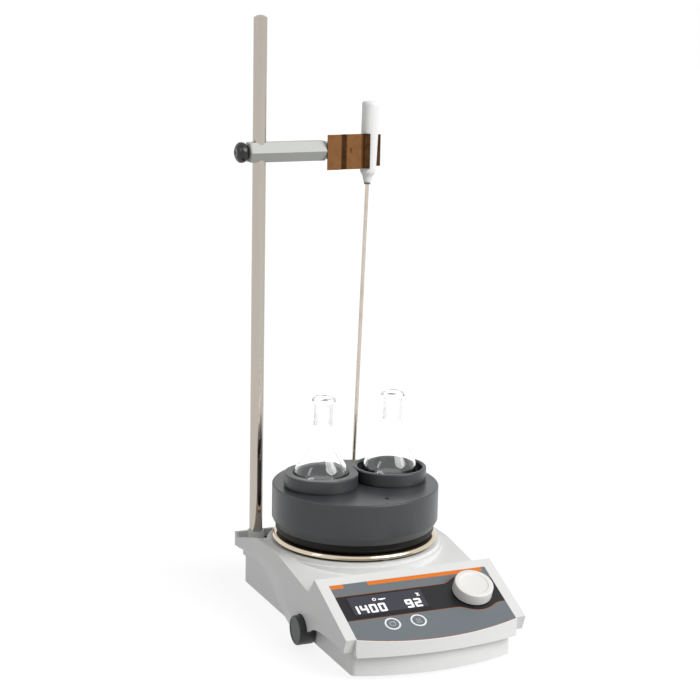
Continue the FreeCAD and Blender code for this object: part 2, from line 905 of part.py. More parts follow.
def glass_side(offset):
    """One wall of the flask as edges from the ball's lowest point up to the rim."""
    r = ball_r - offset
    neck = neck_r - offset
    joint = joint_r - offset
    shoulder = math.radians(shoulder_angle)
    start = V(0, 0, ball_z - r)
    mid = V(r, 0, ball_z)
    top = V(r * math.cos(shoulder), 0, ball_z + r * math.sin(shoulder))
    edges = [Part.Arc(start, V(r * math.sin(0.8), 0, ball_z - r * math.cos(0.8)), mid).toShape(),
             Part.Arc(mid, V(r * math.cos(shoulder / 2), 0, ball_z + r * math.sin(shoulder / 2)), top).toShape()]
    curve = Part.BezierCurve()
    tangent = V(-math.sin(shoulder), 0, math.cos(shoulder))
    low = V(neck, 0, neck_low)
    curve.setPoles([top, top + tangent * 5, low - V(0, 0, 5), low])
    edges.append(curve.toShape())
    path = [low, V(neck, 0, joint_low - joint_step), V(joint, 0, joint_low), V(joint, 0, flask_top - bead_height)]
    return edges + lines_through(path), path[-1]


def flask_solid(x):
    outer, outer_top = glass_side(0)
    inner, inner_top = glass_side(glass)
    bead = [outer_top, V(bead_r - 0.7, 0, outer_top.z + 0.8), V(bead_r, 0, outer_top.z + 2),
            V(bead_r, 0, flask_top - 1), V(bead_r - 1, 0, flask_top), V(inner_top.x, 0, flask_top), inner_top]
    axis = Part.makeLine(V(0, 0, ball_z - ball_r), V(0, 0, ball_z - ball_r + glass))
    wire = Part.Wire(outer + lines_through(bead) + inner[::-1] + [axis])
    solid = Part.Face(wire).revolve(V(0, 0, 0), Z_AXIS, 360)
    solid.translate(V(x, 0, 0))
    return solid


def stir_bar(x):
    reach = stir_bar_length / 2
    corner = math.sqrt((ball_r - glass - loose) ** 2 - (reach - 1) ** 2)
    z = ball_z - corner + stir_bar_r
    edge = stir_bar_edge
    section = [(-reach, 0), (-reach, stir_bar_r - edge), (-reach + edge, stir_bar_r), (reach - edge, stir_bar_r),
               (reach, stir_bar_r - edge), (reach, 0)]
    bar = turned_x(section, 0, z)
    bar.translate(V(x, 0, 0))
    return bar


def support_rod():
    dome_r = (rod_r ** 2 + rod_dome ** 2) / (2 * rod_dome)
    shaft = cyl(rod_r, rod_seat, rod_top).common(Part.makeSphere(dome_r, V(0, 0, rod_top - dome_r)))
    shaft = shaft.fuse(cyl(rod_r, rod_seat, rod_top - rod_dome))
    rod = shaft.fuse(cyl(stud_r, stud_bottom, rod_seat)).removeSplitter()
    rod.translate(V(rod_x, rod_y, 0))
    return rod


def rod_nut():
    corner = nut_flats / 2 / math.cos(math.radians(30))
    angles = [math.radians(60 * k) for k in range(6)]
    points = [V(corner * math.cos(a), corner * math.sin(a), boss_bottom - nut_height) for a in angles]
    nut = face_of(points).extrude(V(0, 0, nut_height))
    nut = nut.common(cyl(nut_corner_r, boss_bottom - nut_height, boss_bottom))
    nut.translate(V(rod_x, rod_y, 0))
    return nut.cut(cyl(stud_r + running, stud_bottom - 1, boss_bottom + 1, rod_x, rod_y))


def clamp_arm():
    h = arm_half
    b = arm_bevel
    points = [(-h, -h + b), (-h + b, -h), (h - b, -h), (h, -h + b), (h, h - b), (h - b, h), (-h + b, h),
              (-h, h - b)]
    bar = side_prism([(rod_y + y, arm_z + z) for y, z in points], arm_left, arm_right)
    nose = turned_x([(arm_left, 0), (arm_left, h - arm_nose), (arm_left + arm_nose, h),
                     (arm_left + 4 * arm_nose, 2 * h), (arm_right + 5, 2 * h), (arm_right + 5, 0)], rod_y, arm_z)
    bar = bar.common(nose)
    tongue = box(arm_right - 1, tongue_end, rod_y - tongue_half, rod_y + tongue_half, arm_z - 7, arm_z + 7)
    bar = bar.fuse(tongue)
    bar = bar.cut(cyl(rod_r + running, arm_z - 2 * h, arm_z + 2 * h, rod_x, rod_y))
    bar = bar.cut(cyl_x(clamp_screw_r + running, arm_left - 1, rod_x, rod_y, arm_z))
    return bar.cut(cyl_y(rivet_r, 0, 2 * rod_y, rivet_x, arm_z)).removeSplitter()


def clamp_screw():
    shaft = cyl_x(clamp_screw_r, arm_left - clamp_screw_grip, screw_end, rod_y, arm_z)
    return shaft.fuse(cyl_x(clamp_pin_r, screw_end, pad_back + 2 * running, rod_y, arm_z)).removeSplitter()


def pressure_pad():
    pad = cyl_x(pad_r, pad_back, pad_face, rod_y, arm_z)
    hole_end = pad_back + clamp_travel + 2 * seam
    return pad.cut(cyl_x(clamp_pin_r + running, pad_back - 1, hole_end, rod_y, arm_z))


def clamp_knob():
    right = arm_left - loose
    bottom = arm_left - clamp_screw_grip
    left = right - clamp_knob_length
    r = clamp_knob_r
    section = [(left, 0), (left, r - 5.4), (left + 0.7, r - 3.2), (left + 2.2, r - 1.2), (left + 4.4, r - 0.1),
               (left + 6.2, r), (left + 8.4, r - 0.5), (right - 1.4, r - 1.6), (right, r - 4.2),
               (right, clamp_screw_r), (bottom, clamp_screw_r), (bottom, 0)]
    return turned_x(section, rod_y, arm_z)


def jaw(side, end_x):
    """One bent leaf of the clip: its inner line is followed in plan, thickened and raised."""
    grip = clip_grip_r
    start = V(arm_right + loose, side * arm_half, 0)
    knee = V(arm_right + clip_knee, side * arm_half, 0)
    flat_start = V(arm_right + clip_flat, side * tongue_half, 0)
    flat_end = V(tongue_end + 2, side * tongue_half, 0)
    angle_in = math.radians(clip_grip_start)
    hold = V(probe_x + grip * math.cos(angle_in), side * grip * math.sin(angle_in), 0)
    reach = end_x if side < 0 else probe_x + grip * math.cos(math.radians(clip_grip_end))
    leave = V(reach, side * math.sqrt(grip ** 2 - (reach - probe_x) ** 2), 0)
    between = (angle_in + math.acos((reach - probe_x) / grip)) / 2
    middle = V(probe_x + grip * math.cos(between), side * grip * math.sin(between), 0)
    edges = lines_through([start, knee, flat_start, flat_end, hold])
    edges.append(Part.Arc(hold, middle, leave).toShape())
    if side > 0:
        edges.append(Part.makeLine(leave, V(end_x, side * (grip + clip_sheet), 0)))
    strip = Part.Wire(edges).makeOffset2D(-side * clip_sheet, 0, True, True)
    leaf = strip.extrude(V(0, 0, clip_height))
    leaf.translate(V(0, rod_y, arm_z - clip_height / 2 - clip_drop))
    return leaf.cut(cyl_y(rivet_r, 0, 2 * rod_y, rivet_x, arm_z))


def clip_front_leaf():
    return jaw(-1, probe_x - 0.8)


def clip_rear_leaf():
    return jaw(1, clip_end)


def clip_rivet():
    reach = tongue_half + clip_sheet
    pin = cyl_y(rivet_r, rod_y - reach, rod_y + reach, rivet_x, arm_z)
    high = reach + rivet_head_height
    heads = [cyl_y(rivet_head_r, rod_y - high, rod_y - reach, rivet_x, arm_z),
             cyl_y(rivet_head_r, rod_y + reach, rod_y + high, rivet_x, arm_z)]
    return pin.fuse(heads).removeSplitter()


def leaned(shape):
    """Places a piece of the probe, made upright on its own axis, in the clip."""
    placed = shape.copy()
    placed.translate(V(0, 0, -arm_z))
    placed.rotate(V(0, 0, 0), Y_AXIS, probe_lean)
    placed.translate(V(probe_x, rod_y, arm_z))
    return placed


def probe_handle():
    edge = handle_edge
    section = [(0, handle_tip), (handle_tip_r, handle_tip), (handle_tip_r + 1.2, handle_tip + 5),
               (handle_low_r - 0.4, handle_low - 4), (handle_low_r, handle_low), (handle_top_r, probe_top - edge),
               (handle_top_r - edge / 3, probe_top - edge / 3), (handle_top_r - edge, probe_top), (0, probe_top)]
    return leaned(revolve(section).cut(cyl(stem_r, handle_tip - 1, handle_tip + stem_grip)))


def probe_collar():
    return leaned(ring(probe_collar_r, stem_r, handle_tip - probe_collar_height, handle_tip))


def probe_stem():
    top = handle_tip + stem_grip
    section = [(0, stem_tip), (stem_r / 2, stem_tip), (stem_r, stem_tip + stem_point), (stem_r, top), (0, top)]
    return leaned(revolve(section))


def rear_panel():
    low = rear_face - shell
    back = rear_face + 1
    w = inlet_half_w + inlet_wall
    h = inlet_half_h + inlet_wall
    plate = box(rear_left, rear_right, low, rear_face, rear_bottom, rear_rim_top)
    plate = plate.cut(box(inlet_x - w, inlet_x + w, low - 1, back, inlet_z - h, inlet_z + h))
    plate = plate.cut(cyl_y(socket_r + socket_wall + running, low - 1, back, socket_x, socket_z))
    half = grille_width / 2
    return plate.cut([box(x - half, x + half, low - 1, back, grille_low, grille_high) for x in grille_x])


def inlet_block(grow, y0, y1):
    w = inlet_half_w + grow
    h = inlet_half_h + grow
    return box(inlet_x - w, inlet_x + w, y0, y1, inlet_z - h, inlet_z + h)


def power_inlet():
    back = rear_face - inlet_depth
    body = inlet_block(inlet_wall, back - inlet_wall, rear_face)
    body = body.fuse(inlet_block(2 * inlet_wall, rear_face, rear_face + inlet_flange))
    body = body.cut(inlet_block(0, back, rear_face + inlet_flange + 1))
    pins = [box(inlet_x + dx - 1, inlet_x + dx + 1, back - 1, back + inlet_pin_length, inlet_z + dz - 2,
                inlet_z + dz + 2) for dx, dz in ((-inlet_pin_step, -2), (0, 2), (inlet_pin_step, -2))]
    return body.fuse(pins).removeSplitter()


def sensor_socket():
    back = rear_face - socket_depth
    flange = rear_face + socket_flange
    body = cyl_y(socket_r + socket_wall, back - socket_wall, rear_face, socket_x, socket_z)
    body = body.fuse(cyl_y(socket_r + 2 * socket_wall, rear_face, flange, socket_x, socket_z))
    body = body.cut(cyl_y(socket_r, back, flange + 1, socket_x, socket_z))
    pins = []
    for k in range(socket_pins):
        angle = math.radians(180 * k / (socket_pins - 1))
        x = socket_x + socket_pin_circle * math.cos(angle)
        z = socket_z - socket_pin_circle * math.sin(angle)
        pins.append(cyl_y(socket_pin_r, back - 1, back + 3, x, z))
    return body.fuse(pins).removeSplitter()


nodes = {
    "base_housing": base_housing, "bottom_cover": bottom_cover, "housing_screws": housing_screws,
    "rubber_feet": rubber_feet, "upper_housing": upper_housing, "front_foil": foil,
    "display_window": display_window, "display_module": display_module, "control_board": control_board,
    "board_screws": board_screws, "key_switches": key_switches, "button_speed": lambda: button(0),
    "button_heat": lambda: button(1), "encoder_body": encoder_body, "encoder_plunger": encoder_plunger,
    "encoder_shaft": encoder_shaft, "selector_knob": selector_knob, "switch_knob": switch_knob,
    "switch_shaft": switch_shaft, "switch_body": switch_body, "hot_plate": hot_plate,
    "heating_element": heating_element, "insulation_disc": insulation_disc,
    "plate_standoffs": plate_standoffs, "motor_bracket": motor_bracket, "motor": motor,
    "drive_rotor": drive_rotor, "drive_magnets": drive_magnets, "power_board": power_board,
    "carrier_block": carrier_block, "centring_ring": centring_ring, "well_insert_left": well_insert_left,
    "well_insert_right": well_insert_right, "flask_left": lambda: flask_solid(-well_x),
    "flask_right": lambda: flask_solid(well_x), "stir_bar_left": lambda: stir_bar(-well_x),
    "stir_bar_right": lambda: stir_bar(well_x), "support_rod": support_rod, "rod_nut": rod_nut,
    "clamp_arm": clamp_arm, "clamp_screw": clamp_screw, "pressure_pad": pressure_pad,
    "clamp_knob": clamp_knob, "clip_front_leaf": clip_front_leaf, "clip_rear_leaf": clip_rear_leaf,
    "clip_rivet": clip_rivet, "probe_handle": probe_handle, "probe_collar": probe_collar,
    "probe_stem": probe_stem, "rear_panel": rear_panel, "power_inlet": power_inlet,
    "sensor_socket": sensor_socket,
}

os.makedirs("parts", exist_ok=True)
for name, make in nodes.items():
    shape = make()
    print(name, "valid", shape.isValid(), "solids", len(shape.Solids), "volume", round(shape.Volume, 1))
    shape.exportStep("parts/" + name + ".step")
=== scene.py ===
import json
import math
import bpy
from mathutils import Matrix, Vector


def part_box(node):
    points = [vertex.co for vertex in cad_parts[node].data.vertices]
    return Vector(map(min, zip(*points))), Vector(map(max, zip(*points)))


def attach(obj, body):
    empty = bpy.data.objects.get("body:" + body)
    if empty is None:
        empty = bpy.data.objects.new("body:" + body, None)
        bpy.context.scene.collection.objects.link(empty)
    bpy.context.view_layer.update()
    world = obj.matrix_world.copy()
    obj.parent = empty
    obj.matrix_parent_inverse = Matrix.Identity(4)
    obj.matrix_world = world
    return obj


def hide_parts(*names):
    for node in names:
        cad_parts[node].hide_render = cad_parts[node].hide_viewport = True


bl_info = {
    "name": "Multi-well magnetic stirrer",
    "version": (1, 0, 0),
    "blender": (4, 5, 0),
    "location": "3D View > Sidebar > Stirrer",
    "description": "Finishes a heated multi-well stirrer with its printed panel, glass, metal and plastic",
    "category": "Object",
}

import bmesh
import bpy
from mathutils import Matrix, Vector

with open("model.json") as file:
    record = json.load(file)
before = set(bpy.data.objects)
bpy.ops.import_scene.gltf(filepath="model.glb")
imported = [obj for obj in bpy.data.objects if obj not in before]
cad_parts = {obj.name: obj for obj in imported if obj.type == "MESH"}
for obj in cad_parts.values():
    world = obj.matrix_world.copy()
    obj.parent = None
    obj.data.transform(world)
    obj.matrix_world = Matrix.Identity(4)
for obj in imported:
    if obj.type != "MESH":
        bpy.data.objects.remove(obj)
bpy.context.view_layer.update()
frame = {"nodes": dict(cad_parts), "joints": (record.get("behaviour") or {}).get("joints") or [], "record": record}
nodes = frame["nodes"]
joints = {joint["name"]: joint for joint in frame["joints"]}
body_of_node = {node: body for body, members in frame["record"]["behaviour"]["bodies"].items() for node in members}

MM = 0.001
X_AXIS = Vector((1, 0, 0))

# Places on the control panel, in millimetres: x across, s down the slope from its back edge
SELECTOR_X = 46.8
SELECTOR_S = 37.0
BUTTONS = {"speed": -35.0, "heat": -12.0}
BUTTON_S = 60.7
RING_WHITE = (0.90, 0.92, 0.93)
# Where the clamp arm's bar ends and where the probe crosses the clip, in millimetres
ARM_END = -2.8
PROBE_X = 41.3
# How far the probe is turned about its tip, in degrees
PROBE_TURN = -0.257
STEM_R = 1.75
# Where painted dark reflection lies across the clip's two bends, in millimetres along it
CLIP_DARK = (8.6, 16.0, 31.0)
# Above this height in metres the rear panel has the housing's colour
REAR_LIP = 0.0447


def panel_place():
    """The matrix from panel axes, x across, y up the slope, z off the panel, to the object's."""
    normal = -Vector(joints["speed_button_press"]["axis"])
    up = normal.cross(X_AXIS)
    hub = Vector(joints["selector_turn"]["pos_m"])
    origin = hub - X_AXIS * SELECTOR_X * MM + up * SELECTOR_S * MM
    place = Matrix((X_AXIS, up, normal)).transposed().to_4x4()
    place.translation = origin
    return place


PANEL = panel_place()


# Values that a user would change

def colour(name, description, red, green, blue):
    return bpy.props.FloatVectorProperty(name=name, description=description, subtype="COLOR", size=3,
                                         min=0, max=1, default=(red, green, blue))


def length(name, description, metres):
    return bpy.props.FloatProperty(name=name, description=description, unit="LENGTH", default=metres)


class StirrerColours(bpy.types.PropertyGroup):
    housing: colour("Housing", "Light grey moulded plastic", 0.76, 0.765, 0.755)
    knob: colour("Selector", "Off-white selector knob", 0.80, 0.79, 0.765)
    foil: colour("Foil", "Blue-grey printed field", 0.150, 0.172, 0.186)
    stripe: colour("Stripe", "Orange stripe and fine outlines", 0.76, 0.185, 0.012)
    band: colour("Band", "Black printed band", 0.004, 0.004, 0.006)
    window: colour("Display", "Dark display window", 0.040, 0.040, 0.055)
    digit: colour("Digits", "Lit segments of the display", 0.90, 0.90, 0.90)
    switch: colour("Switch", "Dark grey switch knob", 0.030, 0.033, 0.034)
    block: colour("Carrier", "Coated aluminium of carrier and inserts", 0.040, 0.044, 0.048)
    centring: colour("Centring ring", "Black plastic ring under the carrier", 0.004, 0.004, 0.004)
    plate: colour("Plate", "Polished metal of the hot plate", 0.66, 0.57, 0.44)
    rod: colour("Rod", "Polished stainless steel", 0.47, 0.43, 0.385)
    arm: colour("Arm", "Light grey painted clamp arm", 0.44, 0.45, 0.425)
    bronze: colour("Clip", "Browned spring bronze", 0.150, 0.070, 0.028)
    handle: colour("Probe handle", "White plastic", 0.86, 0.86, 0.85)


class StirrerSizes(bpy.types.PropertyGroup):
    edge: length("Moulded edge", "Rounding of the housing's edges", 0.0007)
    fine_edge: length("Fine edge", "Rounding of small metal edges", 0.0003)
    stripe_from: length("Stripe from", "Where the orange stripe starts down the slope", 0.0093)
    stripe_to: length("Stripe to", "Where the orange stripe ends", 0.0138)
    band_from: length("Band from", "Upper edge of the black band", 0.0232)
    band_to: length("Band to", "Lower edge of the black band", 0.052)
    band_swell: length("Band swell", "Radius of the band round the selector", 0.0214)
    outline: length("Outline", "Half the thickness of the orange outline", 0.00024)
    ring: length("Button ring", "Outer radius of the white ring round a button", 0.0069)
    ring_width: length("Ring width", "Thickness of the white ring", 0.0015)
    flask_lean: bpy.props.FloatProperty(name="Flask lean", description="How far the flasks lean in their wells",
                                        unit="ROTATION", default=math.radians(1.3))
    camera_lens: bpy.props.FloatProperty(name="Lens", description="Focal length", unit="CAMERA", default=97.72)


def colours():
    return bpy.context.scene.stirrer_colours


def sizes():
    return bpy.context.scene.stirrer_sizes


# Shader expressions

class Value:
    """A shader socket that takes part in Python expressions. Each operator adds its Math node."""

    def __init__(self, paint, socket):
        self.paint = paint
        self.socket = socket

    def math(self, operation, first, second=0.0, third=0.0):
        return self.paint.node("ShaderNodeMath", {"operation": operation}, {0: first, 1: second, 2: third})

    def __add__(self, other):
        return self.math("ADD", self, other)

    def __sub__(self, other):
        return self.math("SUBTRACT", self, other)

    def __rsub__(self, other):
        return self.math("SUBTRACT", other, self)

    def __mul__(self, other):
        return self.math("MULTIPLY", self, other)

    __radd__ = __add__
    __rmul__ = __mul__

    def __abs__(self):
        return self.math("ABSOLUTE", self)

    def __lt__(self, other):
        return self.math("LESS_THAN", self, other)

    def __gt__(self, other):
        return self.math("GREATER_THAN", self, other)

    def power(self, exponent):
        return self.math("POWER", self, exponent)

    def smooth_min(self, other, distance):
        return self.math("SMOOTH_MIN", self, other, distance)

    def between(self, low, high):
        return (self > low) * (self < high)

    def fade(self, low, high):
        """0 up to low, 1 from high on, smooth between them."""
        return self.paint.node("ShaderNodeMapRange", {"interpolation_type": "SMOOTHSTEP"},
                               {"Value": self, "From Min": low, "From Max": high})

    def out(self, name):
        return Value(self.paint, self.socket.node.outputs[name])


class Graph:
    """A node tree whose nodes are made by one method."""

    def __init__(self, tree):
        self.tree = tree

    def node(self, kind, settings=None, inputs=None, output=0):
        made = self.tree.nodes.new(kind)
        for key, value in (settings or {}).items():
            setattr(made, key, value)
        for key, value in (inputs or {}).items():
            if isinstance(value, Value):
                self.tree.links.new(value.socket, made.inputs[key])
            else:
                made.inputs[key].default_value = value
        return Value(self, made.outputs[output])

    def parts(self, vector):
        split = self.node("ShaderNodeSeparateXYZ", {}, {0: vector})
        return split, split.out("Y"), split.out("Z")


class Paint(Graph):
    """A node material with one Principled shader, whose plain numbers are set on its own sockets."""

    def __init__(self, name, **numbers):
        self.material = bpy.data.materials.new(name)
        self.material.use_nodes = True
        super().__init__(self.material.node_tree)
        self.shader = self.tree.nodes["Principled BSDF"]
        for socket, number in numbers.items():
            self.shader.inputs[socket.replace("_", " ")].default_value = number

    def feed(self, socket, value):
        self.tree.links.new(value.socket, self.shader.inputs[socket])

    def place(self, location=(0, 0, 0), rotation=(0, 0, 0), scale=(1, 1, 1)):
        """Object coordinates in metres, moved, turned or stretched by a Mapping node."""
        here = self.node("ShaderNodeTexCoord", output="Object")
        return self.node("ShaderNodeMapping", {}, {"Vector": here, "Location": location, "Rotation": rotation,
                                                   "Scale": scale})

    def turned_place(self, turn, centre):
        """Object coordinates about a centre, seen from axes turned by a 3 x 3 matrix."""
        return self.parts(self.place(location=-(turn @ centre), rotation=turn.to_euler()))

    def panel(self, x=0.0, s=0.0):
        """Metres across and down the slope from a place on the control panel."""
        across, up, off = self.turned_place(PANEL.to_3x3().transposed(), PANEL @ Vector((x * MM, -s * MM, 0)))
        return across, 0.0 - up

    def vector(self, x, y, z):
        return self.node("ShaderNodeCombineXYZ", {}, {0: x, 1: y, 2: z})

    def noise(self, vector, size, detail=2.0, rough=0.5):
        """Noise from 0 to 1 whose patches are about size metres across."""
        return self.node("ShaderNodeTexNoise", {}, {"Vector": vector, "Scale": 1 / size, "Detail": detail,
                                                    "Roughness": rough})

    def mix(self, factor, first, second):
        return self.node("ShaderNodeMix", {"data_type": "RGBA"}, {0: factor, 6: opaque(first), 7: opaque(second)},
                         output=2)

    def bump(self, height, distance):
        self.feed("Normal", self.node("ShaderNodeBump", {}, {"Height": height, "Distance": distance,
                                                             "Strength": 1.0}))

    def shade(self, base, factor, amount):
        """The base colour, darker and lighter by amount as factor runs from 0 to 1."""
        dark = [channel * (1 - amount) for channel in base]
        light = [min(1.0, channel * (1 + amount)) for channel in base]
        return self.mix(factor, dark, light)


def opaque(value):
    return value if isinstance(value, Value) else tuple(value) + (1.0,)


def moulded(name, base, roughness=0.42, grain=0.00035, depth=0.000012, specular=0.45):
    """Moulded plastic: fine spark grain, a faint cloudiness and slightly uneven gloss."""
    paint = Paint(name, Specular_IOR_Level=specular)
    here = paint.place()
    cloud = paint.noise(here, 0.03, 3.0)
    fine = paint.noise(here, grain, 2.0, 0.6)
    paint.feed("Base Color", paint.shade(base, cloud, 0.02))
    paint.feed("Roughness", fine * 0.08 + (roughness - 0.04))
    paint.bump(fine, depth)
    return paint.material


def turned(name, base, axis, roughness=0.4, metallic=0.0, line=0.0004, depth=0.00001, wear=0.04, specular=0.5):
    """A piece made on a lathe about a vertical axis: fine circular tool marks and a cloudy coating."""
    paint = Paint(name, Metallic=metallic, Specular_IOR_Level=specular)
    here = paint.place(location=(-axis[0], -axis[1], 0))
    x, y, z = paint.parts(here)
    radius = (x * x + y * y).power(0.5)
    marks = paint.noise(paint.vector(radius, z, 0.0), line, 2.0, 0.7)
    cloud = paint.noise(here, 0.012, 3.0, 0.6)
    speck = paint.noise(here, 0.0012, 2.0, 0.7).fade(0.66, 0.72)
    paint.feed("Base Color", paint.shade(base, cloud * 0.7 + marks * 0.3, wear + 0.06))
    paint.feed("Roughness", (marks * 0.25 + cloud * 0.20 + speck * 0.12 + 0.75) * roughness)
    paint.bump(marks, depth)
    return paint.material


def drawn_metal(name, base, roughness=0.2, stretch=(1, 1, 0.02), line=0.00025, depth=0.000006, tint=None):
    """Drawn or rolled metal with fine lines along one axis and a faint cloudy stain."""
    paint = Paint(name, Metallic=1.0)
    along = paint.noise(paint.place(scale=stretch), line, 2.0, 0.6)
    cloud = paint.noise(paint.place(), 0.02, 3.0, 0.6)
    base_colour = paint.shade(base, along, 0.08)
    paint.feed("Base Color", paint.mix(cloud.fade(0.35, 0.75) * 0.5, base_colour, tint or base))
    paint.feed("Roughness", along * 0.10 + cloud * 0.06 + (roughness - 0.08))
    paint.bump(along, depth)
    return paint.material


def printed_foil():
    """The panel's foil: blue-grey field, orange stripe, black band round display and selector."""
    c = colours()
    s = sizes()
    paint = Paint("printed_foil", Specular_IOR_Level=0.35)
    x, down = paint.panel()
    middle = (s.band_from + s.band_to) / 2
    half = (s.band_to - s.band_from) / 2
    strip = abs(down - middle) - half
    from_hub_x = x - SELECTOR_X * MM
    from_hub_s = down - SELECTOR_S * MM
    disc = (from_hub_x * from_hub_x + from_hub_s * from_hub_s).power(0.5) - s.band_swell
    band = strip.smooth_min(disc, 0.006)
    stripe = down.between(s.stripe_from, s.stripe_to) * x.between(-0.0708, 0.0672)
    gap = x.between(-0.0595, -0.0380)
    from_arc = down + 0.17547
    front = (x * x + from_arc * from_arc).power(0.5).between(0.2577, 0.2582)
    fine = [channel * 0.5 for channel in c.stripe]
    grain = paint.noise(paint.place(), 0.00022, 2.0, 0.6)
    cloud = paint.noise(paint.place(), 0.02, 2.0)
    field = paint.shade(c.foil, cloud, 0.03)
    field = paint.mix(stripe * (1 - gap), field, c.stripe)
    field = paint.mix(front, field, fine)
    for place in BUTTONS.values():
        near, below = paint.panel(place, BUTTON_S)
        field = paint.mix((near * near + below * below).power(0.5) < s.ring, field, RING_WHITE)
    field = paint.mix(band < s.outline, field, fine)
    field = paint.mix(band < -s.outline, field, c.band)
    paint.feed("Base Color", field)
    paint.feed("Roughness", grain * 0.10 + 0.36)
    paint.bump(grain, 0.000005)
    return paint.material


def window_pane():
    paint = Paint("display_pane", Specular_IOR_Level=0.3, Coat_Roughness=0.05)
    cloud = paint.noise(paint.place(), 0.004, 2.0)
    x, down = paint.panel()
    lit = x.between(-0.0618, 0.0038) * down.between(0.0253, 0.0461)
    paint.feed("Base Color", paint.mix(lit, colours().band, paint.shade(colours().window, cloud, 0.06)))
    paint.feed("Roughness", cloud * 0.06 + 0.22)
    return paint.material


def clear_glass(name, centre, lean):
    """Clear glass that is ground to a frosted band inside its joint."""
    paint = Paint(name, Transmission_Weight=1.0, IOR=1.5)
    x, y, z = paint.turned_place(Matrix.Rotation(-lean, 3, "Y"), centre)
    radius = (x * x + y * y).power(0.5)
    ground = z.between(0.0445, 0.0665) * (radius < 0.0074)
    speck = paint.noise(paint.place(), 0.0006, 2.0, 0.7)
    paint.feed("Roughness", ground * (speck * 0.15 + 0.40) + 0.0)
    paint.feed("Base Color", paint.mix(ground, (0.90, 0.91, 0.91), (0.80, 0.81, 0.81)))
    return paint.material


def bronze():
    """Browned spring bronze: heat stains, rolling lines, a few rubbed spots, and painted dark reflection across the
    knee bend and the end curl.
    """
    c = colours()
    paint = Paint("spring_bronze", Metallic=1.0)
    here = paint.place()
    x, y, z = paint.parts(here)
    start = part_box("clip_front_leaf")[0].x
    along = (x - start) * (1 / MM)
    stain = paint.noise(here, 0.006, 3.0, 0.55)
    lines = paint.noise(paint.place(scale=(1, 1, 0.05)), 0.0004, 2.0, 0.6)
    spots = paint.noise(here, 0.0016, 3.0, 0.7)
    dark = [channel * 0.28 for channel in c.bronze]
    light = [min(1.0, channel * 1.5) for channel in c.bronze]
    # Painted dark reflection: the knee bend and the curl round the probe are darkened along the clip; the stain
    # noise added to it is the metal's own heat tint.
    knee = along.fade(CLIP_DARK[0], CLIP_DARK[0] + 1.6) * (1 - along.fade(CLIP_DARK[1] - 2.2, CLIP_DARK[1]))
    painted_bend_reflection = knee * 0.9 + along.fade(CLIP_DARK[2], CLIP_DARK[2] + 3) * 0.75
    base = paint.mix(painted_bend_reflection + stain.fade(0.35, 0.7) * 0.22, light, dark)
    base = paint.mix(spots.fade(0.60, 0.75) * 0.25, base, light)
    paint.feed("Base Color", base)
    paint.feed("Roughness", stain * 0.16 + lines * 0.10 + 0.20)
    paint.bump(lines, 0.000008)
    return paint.material


def printed_cap(name, x):
    """A foil button: the foil's field with a white ring."""
    c = colours()
    s = sizes()
    paint = Paint(name, Specular_IOR_Level=0.35)
    across, down = paint.panel(x, BUTTON_S)
    radius = (across * across + down * down).power(0.5)
    grain = paint.noise(paint.place(), 0.00022, 2.0, 0.6)
    paint.feed("Base Color", paint.mix(radius > s.ring - s.ring_width, c.foil, RING_WHITE))
    paint.feed("Roughness", grain * 0.10 + 0.36)
    paint.bump(grain, 0.000005)
    return paint.material


def rear_plastic():
    """The rear panel: dark, with a housing-coloured lip above the deck."""
    paint = Paint("rear_plastic", Specular_IOR_Level=0.45)
    x, y, z = paint.parts(paint.place())
    fine = paint.noise(paint.place(), 0.00035, 2.0, 0.6)
    dark = paint.shade((0.045, 0.047, 0.050), fine, 0.04)
    light = paint.shade(colours().housing, fine, 0.02)
    paint.feed("Base Color", paint.mix(z > REAR_LIP, dark, light))
    paint.feed("Roughness", fine * 0.08 + 0.42)
    paint.bump(fine, 0.000012)
    return paint.material


def circuit():
    """A solder-masked board with faint tracks."""
    paint = Paint("circuit_board", Specular_IOR_Level=0.5)
    here = paint.place()
    tracks = paint.noise(paint.place(scale=(1, 0.15, 1)), 0.0012, 1.0).between(0.48, 0.53)
    paint.feed("Base Color", paint.mix(tracks, (0.010, 0.075, 0.030), (0.03, 0.14, 0.06)))
    paint.feed("Roughness", paint.noise(here, 0.001) * 0.2 + 0.3)
    return paint.material


# Modelling

def deselect():
    bpy.ops.object.select_all(action="DESELECT")


def only(obj):
    deselect()
    obj.select_set(True)
    bpy.context.view_layer.objects.active = obj


class editing:
    """Edit mode on one object, with its faces selected by a test of each face."""

    def __init__(self, obj, test=None):
        self.obj = obj
        self.test = test

    def __enter__(self):
        only(self.obj)
        bpy.ops.object.mode_set(mode="EDIT")
        bpy.ops.mesh.select_mode(type="FACE")
        bpy.ops.mesh.select_all(action="SELECT" if self.test is None else "DESELECT")
        if self.test is not None:
            mesh = bmesh.from_edit_mesh(self.obj.data)
            for face in mesh.faces:
                face.select_set(bool(self.test(face)))
            bmesh.update_edit_mesh(self.obj.data)
        return self.obj

    def __exit__(self, *problem):
        bpy.ops.object.mode_set(mode="OBJECT")


def settle(obj, place):
    """Puts an object's place into its mesh, so that the object itself sits at the origin."""
    obj.data.transform(place @ obj.matrix_world)
    obj.matrix_world = Matrix.Identity(4)
    return obj


def finish_piece(obj, material, node=None, body=None, smooth=35.0):
    obj.data.materials.clear()
    obj.data.materials.append(material)
    only(obj)
    bpy.ops.object.shade_smooth_by_angle(angle=math.radians(smooth))
    if node:
        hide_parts(node)
    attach(obj, body or body_of_node[node])
    return obj


